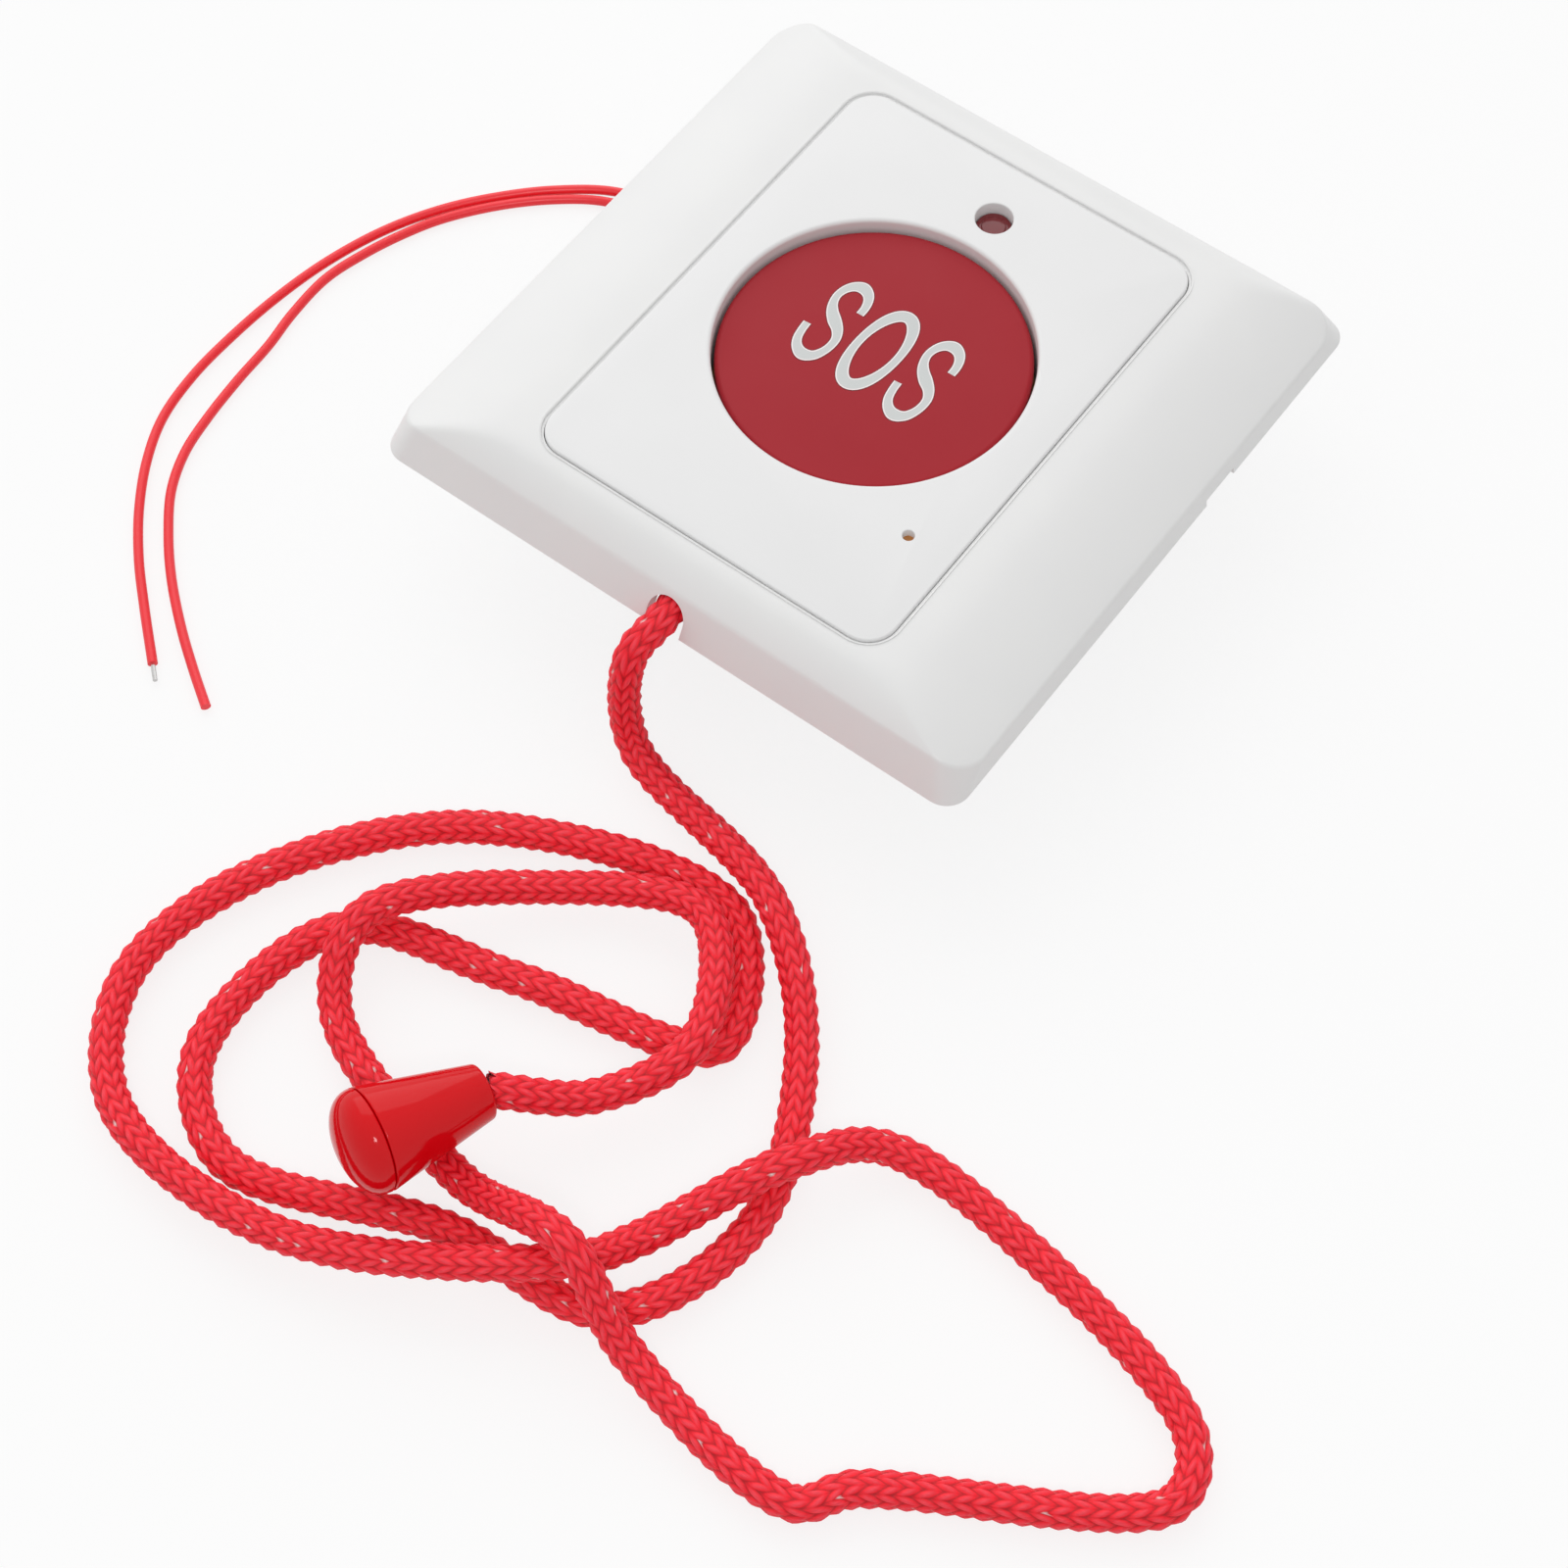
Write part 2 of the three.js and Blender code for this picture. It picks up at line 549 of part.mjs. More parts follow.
function buildMountingPanel() {

	const halfFlange = FLANGE_SIDE / 2;
	const flange = prism( centredRectangle( FLANGE_SIDE, FLANGE_SIDE, PANEL_CORNER_R ), WALL_Z, FLANGE_TOP_Z );
	const edged = prism( centredRectangle( PANEL_WIDTH, PANEL_HEIGHT, PANEL_CORNER_R ), WALL_Z, FACE_Z - EDGE_BREAK );
	const crown = prism( centredRectangle( PANEL_WIDTH - EDGE_BREAK * 2, PANEL_HEIGHT - EDGE_BREAK * 2,
		PANEL_CORNER_R - EDGE_BREAK ), FACE_Z - EDGE_BREAK, FACE_Z );
	const innerR = PANEL_CORNER_R - PANEL_WALL;
	const innerHalfWidth = PANEL_WIDTH / 2 - PANEL_WALL;
	const innerHalfHeight = PANEL_HEIGHT / 2 - PANEL_WALL;
	const hollow = prism( centredRectangle( innerHalfWidth * 2, innerHalfHeight * 2, innerR ),
		FLANGE_TOP_Z, PANEL_UNDERSIDE_Z );
	const throat = prism( roundedRectangle( - innerHalfWidth, innerHalfWidth, REAR_LOW_Y + REAR_WALL, FLANGE_SHELF_Y,
		innerR ), WALL_Z - OVERRUN, FLANGE_TOP_Z + OVERRUN );
	const shell = without( joined( [ flange, edged, crown ] ), [ hollow, throat ] );

	const wellBottom = BOARD_TOP_Z + BUTTON_EDGE_R;
	const well = upright( WELL_R + WELL_WALL, wellBottom, PANEL_UNDERSIDE_Z, 0, BUTTON_CENTRE_Y, 48 );
	const lampTube = upright( LAMP_HOLE_R + LAMP_TUBE_WALL + SEAT, PANEL_UNDERSIDE_Z - LAMP_TUBE_LENGTH,
		PANEL_UNDERSIDE_Z, LAMP_X, LAMP_Y );
	const boardBosses = boardScrewPlaces().map( ( [ x, y ] ) =>
		upright( BOARD_BOSS_R, BOARD_TOP_Z + SEAT, PANEL_UNDERSIDE_Z, x, y, 12 ) );
	const coverBosses = coverScrewPlaces().map( ( [ x, y ] ) =>
		upright( COVER_POST_R, WALL_Z, PANEL_UNDERSIDE_Z, x, y, 12 ) );
	const ribbed = joined( [ shell, well, lampTube, ...boardBosses, ...coverBosses ] );

	const wellCut = solid( turned( [
		[ 0, WALL_Z ], [ WELL_R, WALL_Z ],
		...roundEdge( WELL_R + WELL_LIP_R, FACE_Z - WELL_LIP_R, WELL_LIP_R, 180, 90, 4 ),
		[ WELL_R + WELL_LIP_R, FACE_Z + OVERRUN ], [ 0, FACE_Z + OVERRUN ],
	], 48 ).translate( 0, BUTTON_CENTRE_Y, 0 ) );
	const lampHole = upright( LAMP_HOLE_R, WALL_Z, FACE_Z + OVERRUN, LAMP_X, LAMP_Y, 24 );
	const lampRoom = upright( LAMP_FLANGE_R + SEAT, WALL_Z, PANEL_UNDERSIDE_Z, LAMP_X, LAMP_Y, 24 );
	const pinhole = upright( PINHOLE_R, PANEL_UNDERSIDE_Z - OVERRUN, FACE_Z + OVERRUN, PINHOLE_X, PINHOLE_Y, 16 );
	const boardScrewHoles = boardScrewPlaces().map( ( [ x, y ] ) =>
		upright( BOARD_SCREW.shankR + SEAT, WALL_Z - OVERRUN, boardScrewTip() + SEAT * 3, x, y, 12 ) );
	const coverScrewHoles = coverScrewPlaces().map( ( [ x, y ] ) =>
		upright( COVER_SCREW.shankR + SEAT, WALL_Z - OVERRUN, coverScrewTip() + SEAT * 3, x, y, 12 ) );
	const wallSlots = [ - 1, 1 ].map( ( side ) => prism( stadium( WALL_SLOT_WIDTH, WALL_SLOT_LENGTH,
		side * WALL_SCREW_SPACING / 2 ), WALL_Z - OVERRUN, FLANGE_TOP_Z + OVERRUN ) );
	const leverRoom = LEVER_WIDTH / 2 + LEVER_SIDE_GAP;
	const leverSlot = block( CORD_X - leverRoom, CORD_X + leverRoom, - halfFlange - OVERRUN,
		REAR_LOW_Y + REAR_WALL + OVERRUN, WALL_Z - OVERRUN, FLANGE_TOP_Z );
	const cordArch = cordTunnel( - PANEL_HEIGHT / 2 - OVERRUN, - innerHalfHeight + OVERRUN );
	const hookLands = [ - 1, 1 ].flatMap( ( side ) => [ - 1, 1 ].map( ( end ) => hookLand( side, end ) ) );
	return without( ribbed, [ wellCut, lampHole, lampRoom, pinhole, ...boardScrewHoles, ...coverScrewHoles,
		...wallSlots, leverSlot, cordArch, ...hookLands ] );

}

// The thinned place on the flange's edge that a frame hook reaches under
function hookLand( side, end ) {

	const edge = FLANGE_SIDE / 2;
	const depth = HOOK_BARB * 2;
	const x = side * ( edge - depth / 2 );
	const reach = HOOK_WIDTH / 2 + SEAT * 5;
	const y = end * HOOK_OFFSET_Y;
	return block( x - depth, x + depth, y - reach, y + reach, WALL_Z - OVERRUN, FLANGE_TOP_Z - HOOK_LAND );

}

function boardScrewPlaces() {

	return BOARD_SCREW_YS.flatMap( ( y ) => [ [ - BOARD_SCREW_X, y ], [ BOARD_SCREW_X, y ] ] );

}

function coverScrewPlaces() {

	return COVER_SCREW_YS.flatMap( ( y ) => [ [ - COVER_SCREW_X, y ], [ COVER_SCREW_X, y ] ] );

}

function boardScrewTip() {

	return BOARD_UNDERSIDE_Z - SEAT + BOARD_SCREW.length - BOARD_SCREW.headHeight;

}

function coverScrewTip() {

	return SEAT * 3 + COVER_SCREW.length;

}

function buildRearCover() {

	const top = WALL_Z - SEAT;
	const plan = roundedRectangle( - REAR_HALF_WIDTH, REAR_HALF_WIDTH, REAR_LOW_Y, REAR_HIGH_Y, REAR_CORNER_R );
	const innerPlan = roundedRectangle( - REAR_HALF_WIDTH + REAR_WALL, REAR_HALF_WIDTH - REAR_WALL,
		REAR_LOW_Y + REAR_WALL, REAR_HIGH_Y - REAR_WALL, REAR_CORNER_R - REAR_WALL );
	const shell = prism( plan, 0, top ).subtract( prism( innerPlan, REAR_WALL, top + OVERRUN ) );
	const posts = coverScrewPlaces().map( ( [ x, y ] ) => upright( COVER_POST_R, REAR_WALL / 2, top, x, y, 12 ) );
	const cheekGap = LEVER_WIDTH / 2 + LEVER_SIDE_GAP;
	const cheeks = [ CORD_X - cheekGap - CHEEK_THICKNESS, CORD_X + cheekGap ].map( ( x ) =>
		block( x, x + CHEEK_THICKNESS, REAR_LOW_Y + REAR_WALL / 2, REAR_LOW_Y + REAR_WALL + CHEEK_DEPTH,
			REAR_WALL / 2, PIVOT_Z + CHEEK_TOP ) );
	const body = joined( [ shell, ...posts, ...cheeks ] );

	const screwHoles = coverScrewPlaces().flatMap( ( [ x, y ] ) => [
		upright( COVER_SCREW.shankR + SEAT * 1.5, - OVERRUN, top + OVERRUN, x, y, 12 ),
		upright( COVER_SCREW.headR + SEAT, - OVERRUN, SEAT * 4 + COVER_SCREW.headHeight, x, y, 12 ),
	] );
	const leverNotch = block( CORD_X - cheekGap, CORD_X + cheekGap, REAR_LOW_Y - OVERRUN,
		REAR_LOW_Y + REAR_WALL + SEAT, PIVOT_Z - LEVER_HUB_R - OVERRUN, top + OVERRUN );
	const saddleR = PIVOT_R + PIVOT_CLEARANCE;
	const saddleEnd = cheekGap + CHEEK_THICKNESS + OVERRUN;
	const saddle = joined( [
		crossways( saddleR, CORD_X - saddleEnd, CORD_X + saddleEnd, PIVOT_Y, PIVOT_Z ),
		block( CORD_X - saddleEnd, CORD_X + saddleEnd, PIVOT_Y - saddleR, PIVOT_Y + saddleR, PIVOT_Z,
			PIVOT_Z + CHEEK_TOP + OVERRUN ),
	] );
	const grommetHole = prismAlongX( stadium( GROMMET_SLOT.width + GROMMET_WALL * 2,
		GROMMET_SLOT.height + GROMMET_WALL * 2, GROMMET_Y, GROMMET_Z ),
	- REAR_HALF_WIDTH - OVERRUN, - REAR_HALF_WIDTH + REAR_WALL + OVERRUN );
	const ventMiddle = ( REAR_VENT_COUNT - 1 ) / 2;
	const vents = Array.from( { length: REAR_VENT_COUNT }, ( _, i ) => prism( stadium( REAR_VENT_LENGTH,
		REAR_VENT_WIDTH, 0, ( i - ventMiddle ) * REAR_VENT_PITCH ), - OVERRUN, REAR_WALL + OVERRUN, 4 ) );
	return without( body, [ ...screwHoles, leverNotch, saddle, grommetHole, ...vents ] );

}

// A self-tapping screw with its head at the bottom, its point upwards and a cross recess
function screw( { shankR, headR, headHeight, length } ) {

	const body = solid( turned( [
		[ 0, 0 ], [ headR * 0.75, 0 ], [ headR, headHeight * 0.35 ], [ headR, headHeight ],
		[ shankR, headHeight ], [ shankR, length - shankR ], [ shankR * 0.3, length ], [ 0, length ],
	], 12 ) );
	const half = headR * 0.6;
	const width = SCREW_RECESS_WIDTH / 2;
	const depth = headHeight * 0.5;
	return without( body, [
		block( - half, half, - width, width, - OVERRUN, depth ),
		block( - width, width, - half, half, - OVERRUN, depth ),
	] );

}

function addScrews( name, sizes, places, headZ ) {

	places.forEach( ( [ x, y ], i ) => {

		const mesh = addPiece( `${ name }_${ i + 1 }`, screw( sizes ), FINISH.steel );
		mesh.position.set( x, y, headZ );

	} );

}

// Where the button's four legs stand, on a ring about the button's middle
function legPlaces() {

	const offset = BUTTON_LEG_RING_R * Math.SQRT1_2;
	return [ [ - 1, - 1 ], [ 1, - 1 ], [ 1, 1 ], [ - 1, 1 ] ].map( ( [ sx, sy ] ) =>
		[ sx * offset, BUTTON_CENTRE_Y + sy * offset, sx ] );

}

function buildPushButton() {

	const cap = solid( turned( [
		[ 0, BUTTON_UNDERSIDE_Z ], [ BUTTON_R, BUTTON_UNDERSIDE_Z ],
		...roundEdge( BUTTON_R - BUTTON_EDGE_R, BUTTON_TOP_Z - BUTTON_EDGE_R, BUTTON_EDGE_R, 0, 90, 4 ),
		[ 0, BUTTON_TOP_Z ],
	], 48 ).translate( 0, BUTTON_CENTRE_Y, 0 ) );
	const barbTop = BOARD_UNDERSIDE_Z - SEAT * 3;
	const foot = barbTop - BUTTON_LEG_BARB * 1.5;
	const legs = legPlaces().flatMap( ( [ x, y, side ] ) => {

		const halfX = BUTTON_LEG_THICKNESS / 2;
		const halfY = BUTTON_LEG_WIDTH / 2;
		const reach = side * ( halfX + BUTTON_LEG_BARB );
		return [
			block( x - halfX, x + halfX, y - halfY, y + halfY, foot, BUTTON_UNDERSIDE_Z + SEAT ),
			block( Math.min( x, x + reach ), Math.max( x, x + reach ), y - halfY, y + halfY, foot, barbTop ),
		];

	} );
	return joined( [ cap, ...legs ] );

}

function buildCircuitBoard() {

	const shape = new THREE.Shape();
	shape.moveTo( - BOARD_HALF_WIDTH, BOARD_LOW_Y );
	shape.lineTo( BOARD_HALF_WIDTH, BOARD_LOW_Y );
	shape.lineTo( BOARD_HALF_WIDTH, BOARD_NECK_Y );
	shape.lineTo( BOARD_NECK_HALF_WIDTH, BOARD_NECK_Y );
	shape.lineTo( BOARD_NECK_HALF_WIDTH, BOARD_HIGH_Y );
	shape.lineTo( - BOARD_NECK_HALF_WIDTH, BOARD_HIGH_Y );
	shape.lineTo( - BOARD_NECK_HALF_WIDTH, BOARD_NECK_Y );
	shape.lineTo( - BOARD_HALF_WIDTH, BOARD_NECK_Y );
	const plate = prism( shape, BOARD_UNDERSIDE_Z, BOARD_TOP_Z );
	const screwHoles = boardScrewPlaces().map( ( [ x, y ] ) =>
		upright( BOARD_SCREW.shankR + SEAT * 2, BOARD_UNDERSIDE_Z - OVERRUN, BOARD_TOP_Z + OVERRUN, x, y, 12 ) );
	const legSlots = legPlaces().map( ( [ x, y ] ) => {

		const halfX = BUTTON_LEG_THICKNESS / 2 + BUTTON_LEG_BARB + SEAT * 2;
		const halfY = BUTTON_LEG_WIDTH / 2 + SEAT * 3;
		return block( x - halfX, x + halfX, y - halfY, y + halfY, BOARD_UNDERSIDE_Z - OVERRUN, BOARD_TOP_Z + OVERRUN );

	} );
	return without( plate, [ ...screwHoles, ...legSlots ] );

}

function buildPressSwitch() {

	const half = PRESS_SWITCH_SIDE / 2;
	const base = BOARD_TOP_Z + SEAT;
	const top = base + PRESS_SWITCH_HEIGHT;
	const can = block( - half, half, BUTTON_CENTRE_Y - half, BUTTON_CENTRE_Y + half, base, top );
	const bore = upright( PRESS_PLUNGER_R + PLUNGER_CLEARANCE, base + SEAT * 3, top + OVERRUN, 0, BUTTON_CENTRE_Y );
	return can.subtract( bore );

}

function buildPressPlunger() {

	const top = BUTTON_UNDERSIDE_Z - PLUNGER_GAP;
	const bottom = BOARD_TOP_Z + SEAT * 5 + BUTTON_TRAVEL;
	return upright( PRESS_PLUNGER_R, bottom, top, 0, BUTTON_CENTRE_Y );

}

function buildPullSwitch() {

	const { x, y, z } = PULL_SWITCH_SIZE;
	const top = BOARD_UNDERSIDE_Z - SEAT;
	const body = block( CORD_X - x / 2, CORD_X + x / 2, PULL_SWITCH_Y - y / 2, PULL_SWITCH_Y + y / 2, top - z, top );
	const bore = upright( PULL_PLUNGER_R + PLUNGER_CLEARANCE, top - z - OVERRUN, top - SEAT * 5, CORD_X, PULL_SWITCH_Y );
	return body.subtract( bore );

}

function buildPullPlunger() {

	const mouth = BOARD_UNDERSIDE_Z - SEAT - PULL_SWITCH_SIZE.z;
	return upright( PULL_PLUNGER_R, LEVER_ARM_TOP_Z + PLUNGER_GAP, mouth + SEAT * 8, CORD_X, PULL_SWITCH_Y );

}

function buildPullLever() {

	const x0 = CORD_X - LEVER_WIDTH / 2;
	const x1 = CORD_X + LEVER_WIDTH / 2;
	const halfThickness = LEVER_THICKNESS / 2;
	const halfArm = LEVER_ARM_WIDTH / 2;
	const forkTop = CORD_Z + FORK_TOP;
	const hub = crossways( LEVER_HUB_R, x0, x1, PIVOT_Y, PIVOT_Z );
	const upper = block( x0, x1, PIVOT_Y - halfThickness, PIVOT_Y + halfThickness, PIVOT_Z, forkTop );
	const arm = block( CORD_X - halfArm, CORD_X + halfArm, PIVOT_Y, LEVER_ARM_END_Y,
		LEVER_ARM_TOP_Z - LEVER_ARM_THICKNESS, LEVER_ARM_TOP_Z );
	const slotHalf = CORD_R + CORD_CLEARANCE;
	const forkSlot = block( CORD_X - slotHalf, CORD_X + slotHalf, PIVOT_Y - LEVER_THICKNESS, PIVOT_Y + LEVER_THICKNESS,
		CORD_Z - slotHalf, forkTop + OVERRUN );
	const pinHole = crossways( PIVOT_R + PIVOT_CLEARANCE, x0 - OVERRUN, x1 + OVERRUN, PIVOT_Y, PIVOT_Z );
	return without( joined( [ hub, upper, arm ] ), [ forkSlot, pinHole ] );

}

function buildPivotPin() {

	const end = LEVER_WIDTH / 2 + LEVER_SIDE_GAP + CHEEK_THICKNESS;
	return crossways( PIVOT_R, CORD_X - end, CORD_X + end, PIVOT_Y, PIVOT_Z );

}

// The crimped sleeve on the cord's inner end, which bears on the lever's fork
function buildCordClamp() {

	const start = PIVOT_Y + LEVER_THICKNESS / 2 + CLAMP_STANDOFF;
	const waist = CLAMP_R * 0.88;
	const third = CLAMP_LENGTH / 3;
	const sleeve = turned( [
		[ 0, 0 ], [ CLAMP_R, 0 ], [ CLAMP_R, third * 0.8 ], [ waist, third ], [ waist, third * 2 ],
		[ CLAMP_R, third * 2.2 ], [ CLAMP_R, CLAMP_LENGTH ], [ 0, CLAMP_LENGTH ],
	], 20 );
	return solid( sleeve.rotateX( - Math.PI / 2 ).translate( CORD_X, start, CORD_Z ) );

}

function buildLamp() {

	const base = BOARD_TOP_Z + SEAT;
	const top = FACE_Z - LAMP_RECESS;
	const collar = base + LAMP_FLANGE_THICKNESS;
	return turned( [
		[ 0, base ], [ LAMP_FLANGE_R, base ], [ LAMP_FLANGE_R, collar ], [ LAMP_R, collar ],
		...roundEdge( LAMP_R / 2, top - LAMP_R / 2, LAMP_R / 2, 0, 90, 5 ), [ 0, top ],
	], 24 ).translate( LAMP_X, LAMP_Y, 0 );

}

function buildResistor( x, y ) {

	const bulge = RESISTOR_R;
	const waist = RESISTOR_R * 0.8;
	const end = RESISTOR_LENGTH / 2;
	const body = turned( [
		[ 0, - end ], [ bulge, - end ], [ bulge, - end * 0.6 ], [ waist, - end * 0.45 ], [ waist, end * 0.45 ],
		[ bulge, end * 0.6 ], [ bulge, end ], [ 0, end ],
	], 12 );
	return body.rotateX( - Math.PI / 2 ).translate( x, y, BOARD_UNDERSIDE_Z - bulge - SEAT );

}

function terminalScrewPlaces() {

	return [ 1, - 1 ].map( ( side ) => [ TERMINAL_CENTRE_X, TERMINAL_CENTRE_Y + side * TERMINAL_PITCH / 2 ] );

}

function buildTerminalBlock() {

	const { x, y, z } = TERMINAL_SIZE;
	const top = BOARD_UNDERSIDE_Z - SEAT;
	const body = block( TERMINAL_CENTRE_X - x / 2, TERMINAL_CENTRE_X + x / 2, TERMINAL_CENTRE_Y - y / 2,
		TERMINAL_CENTRE_Y + y / 2, top - z, top );
	const wells = terminalScrewPlaces().map( ( [ sx, sy ] ) =>
		upright( TERMINAL_SCREW_R + SEAT * 2, top - z - OVERRUN, top - z / 2, sx, sy, 16 ) );
	return without( body, wells );

}

function buildTerminalScrew( x, y ) {

	const bottom = BOARD_UNDERSIDE_Z - SEAT - TERMINAL_SIZE.z + SEAT * 8;
	const top = BOARD_UNDERSIDE_Z - SEAT * 2 - TERMINAL_SIZE.z / 2;
	const width = SCREW_RECESS_WIDTH / 2;
	const driverSlot = block( x - TERMINAL_SCREW_R - OVERRUN, x + TERMINAL_SCREW_R + OVERRUN, y - width, y + width,
		bottom - OVERRUN, bottom + SCREW_RECESS_WIDTH );
	return upright( TERMINAL_SCREW_R, bottom, top, x, y, 12 ).subtract( driverSlot );

}

// A rubber grommet that grips the housing's wall between two flanges
function buildGrommet() {

	const neckWidth = GROMMET_SLOT.width + GROMMET_WALL * 2 - SEAT * 2;
	const neckHeight = GROMMET_SLOT.height + GROMMET_WALL * 2 - SEAT * 2;
	const outside = - REAR_HALF_WIDTH - SEAT;
	const inside = - REAR_HALF_WIDTH + REAR_WALL + SEAT;
	const flangePlan = stadium( neckWidth + GROMMET_FLANGE * 2, neckHeight + GROMMET_FLANGE * 2, GROMMET_Y, GROMMET_Z );
	const neckPlan = stadium( neckWidth, neckHeight, GROMMET_Y, GROMMET_Z );
	const slotPlan = stadium( GROMMET_SLOT.width, GROMMET_SLOT.height, GROMMET_Y, GROMMET_Z );
	const body = joined( [
		prismAlongX( flangePlan, outside - GROMMET_FLANGE, outside ),
		prismAlongX( neckPlan, outside - SEAT, inside + SEAT ),
		prismAlongX( flangePlan, inside, inside + GROMMET_FLANGE ),
	] );
	return body.subtract( prismAlongX( slotPlan, outside - GROMMET_FLANGE - OVERRUN, inside + GROMMET_FLANGE + OVERRUN ) );

}

// The bare conductor that shows at the stripped end of the first wire
function buildStrand() {

	const end = new THREE.Vector3( ...WIRE_1_ROUTE.at( - 1 ) );
	const before = new THREE.Vector3( ...WIRE_1_ROUTE.at( - 2 ) );
	const direction = end.clone().sub( before ).normalize();
	const start = end.clone().addScaledVector( direction, SEAT * 3 );
	const tip = start.clone().addScaledVector( direction, STRAND_LENGTH );
	return tube( new THREE.LineCurve3( start, tip ), STRAND_DIAMETER / 2, 8, 1 );

}

// Knob pieces are drawn along +Z from the small end and then laid on the knob's axis
function buildKnobBody() {

	const shoulder = KNOB_LENGTH - SEAT;
	const innerLarge = KNOB_LARGE_R - KNOB_WALL;
	const innerSmall = KNOB_SMALL_R - KNOB_WALL / 2;
	const holeR = CORD_R + CORD_CLEARANCE / 2;
	return turned( [
		[ holeR, 0 ],
		...roundEdge( KNOB_SMALL_R - KNOB_EDGE_R, KNOB_EDGE_R, KNOB_EDGE_R, - 90, 0, 3 ),
		[ KNOB_LARGE_R, shoulder ], [ innerLarge, shoulder ], [ innerSmall, KNOB_WALL ], [ holeR, KNOB_WALL ],
		[ holeR, 0 ],
	], 32 );

}

function buildKnobCap() {

	const spigotR = KNOB_LARGE_R - KNOB_WALL - SEAT * 6;
	const dome = Array.from( { length: 10 }, ( _, i ) => {

		const angle = i / 9 * Math.PI / 2;
		return [ KNOB_LARGE_R * Math.cos( angle ), KNOB_LENGTH + SEAT + KNOB_DOME_HEIGHT * Math.sin( angle ) ];

	} );
	dome[ dome.length - 1 ][ 0 ] = 0;
	return turned( [
		[ 0, KNOB_LENGTH - KNOB_SPIGOT_LENGTH ], [ spigotR, KNOB_LENGTH - KNOB_SPIGOT_LENGTH ],
		[ spigotR, KNOB_LENGTH + SEAT ], ...dome,
	], 32 );

}

function buildKnot() {

	const centre = KNOB_LENGTH * 0.55;
	return turned( [ [ 0, centre - KNOT_R ], ...roundEdge( 0, centre, KNOT_R, - 70, 70, 7 ), [ 0, centre + KNOT_R ] ], 16 );

}

function layOnKnobAxis( mesh ) {

	const azimuth = THREE.MathUtils.degToRad( KNOB_AZIMUTH );
	const elevation = THREE.MathUtils.degToRad( KNOB_ELEVATION );
	const axis = new THREE.Vector3( Math.cos( azimuth ) * Math.cos( elevation ),
		Math.sin( azimuth ) * Math.cos( elevation ), Math.sin( elevation ) );
	mesh.quaternion.setFromUnitVectors( new THREE.Vector3( 0, 0, 1 ), axis );
	mesh.position.copy( KNOB_SMALL_END );

}

function addHousing() {

	addPiece( 'front_frame', buildFrontFrame(), FINISH.ivoryPlastic );
	addPiece( 'mounting_panel', buildMountingPanel(), FINISH.panelPlastic );
	addPiece( 'rear_cover', buildRearCover(), FINISH.housingPlastic );
	addScrews( 'cover_screw', COVER_SCREW, coverScrewPlaces(), SEAT * 3 );

}

function addButtonGroup() {

	const springFoot = BOARD_TOP_Z + SEAT;
	const springTop = BUTTON_UNDERSIDE_Z - SEAT;
	addPiece( 'push_button', buildPushButton(), FINISH.redButton );
	addPiece( 'button_spring', coilSpring( BUTTON_SPRING, 0, BUTTON_CENTRE_Y, springFoot, springTop ), FINISH.steel );
	addPiece( 'press_switch_body', buildPressSwitch(), FINISH.blackPlastic );
	addPiece( 'press_switch_plunger', buildPressPlunger(), FINISH.whitePlastic );

}

function addBoardGroup() {

	const headZ = BOARD_UNDERSIDE_Z - SEAT - BOARD_SCREW.headHeight;
	addPiece( 'circuit_board', buildCircuitBoard(), FINISH.board );
	addScrews( 'board_screw', BOARD_SCREW, boardScrewPlaces(), headZ );
	addPiece( 'indicator_lamp', buildLamp(), FINISH.redLamp );
	addPiece( 'resistor_1', buildResistor( 8, 4 ), FINISH.resistor );
	addPiece( 'resistor_2', buildResistor( 12, 4 ), FINISH.resistor );
	addPiece( 'terminal_block', buildTerminalBlock(), FINISH.greenPlastic );
	terminalScrewPlaces().forEach( ( [ x, y ], i ) =>
		addPiece( `terminal_screw_${ i + 1 }`, buildTerminalScrew( x, y ), FINISH.steel ) );

}

function addPullGroup() {

	const springTop = BOARD_UNDERSIDE_Z - SEAT;
	addPiece( 'pull_lever', buildPullLever(), FINISH.whitePlastic );
	addPiece( 'pivot_pin', buildPivotPin(), FINISH.steel );
	addPiece( 'lever_spring', coilSpring( LEVER_SPRING, CORD_X, LEVER_SPRING_Y, LEVER_ARM_TOP_Z + SEAT, springTop ),
		FINISH.steel );
	addPiece( 'pull_switch_body', buildPullSwitch(), FINISH.blackPlastic );
	addPiece( 'pull_switch_plunger', buildPullPlunger(), FINISH.redButton );
	addPiece( 'cord_clamp', buildCordClamp(), FINISH.steel );

}

function addCordAndKnob() {

	addPiece( 'pull_cord', tube( routeCurve( CORD_ROUTE ), CORD_R, CORD_SIDES, CORD_STEPS ), FINISH.redCord );
	layOnKnobAxis( addPiece( 'knob_body', buildKnobBody(), FINISH.redKnob ) );
	layOnKnobAxis( addPiece( 'knob_cap', buildKnobCap(), FINISH.redKnob ) );
	layOnKnobAxis( addPiece( 'knob_knot', buildKnot(), FINISH.redCord ) );

}

function addWires() {

	addPiece( 'wire_grommet', buildGrommet(), FINISH.rubber );
	[ WIRE_1_ROUTE, WIRE_2_ROUTE ].forEach( ( route, i ) =>
		addPiece( `lead_wire_${ i + 1 }`, tube( routeCurve( route ), WIRE_DIAMETER / 2, 8, WIRE_STEPS ), FINISH.redWire ) );
	addPiece( 'wire_strand', buildStrand(), FINISH.copper );

}

addHousing();
addButtonGroup();
addBoardGroup();
addPullGroup();
addCordAndKnob();
addWires();

export default group;
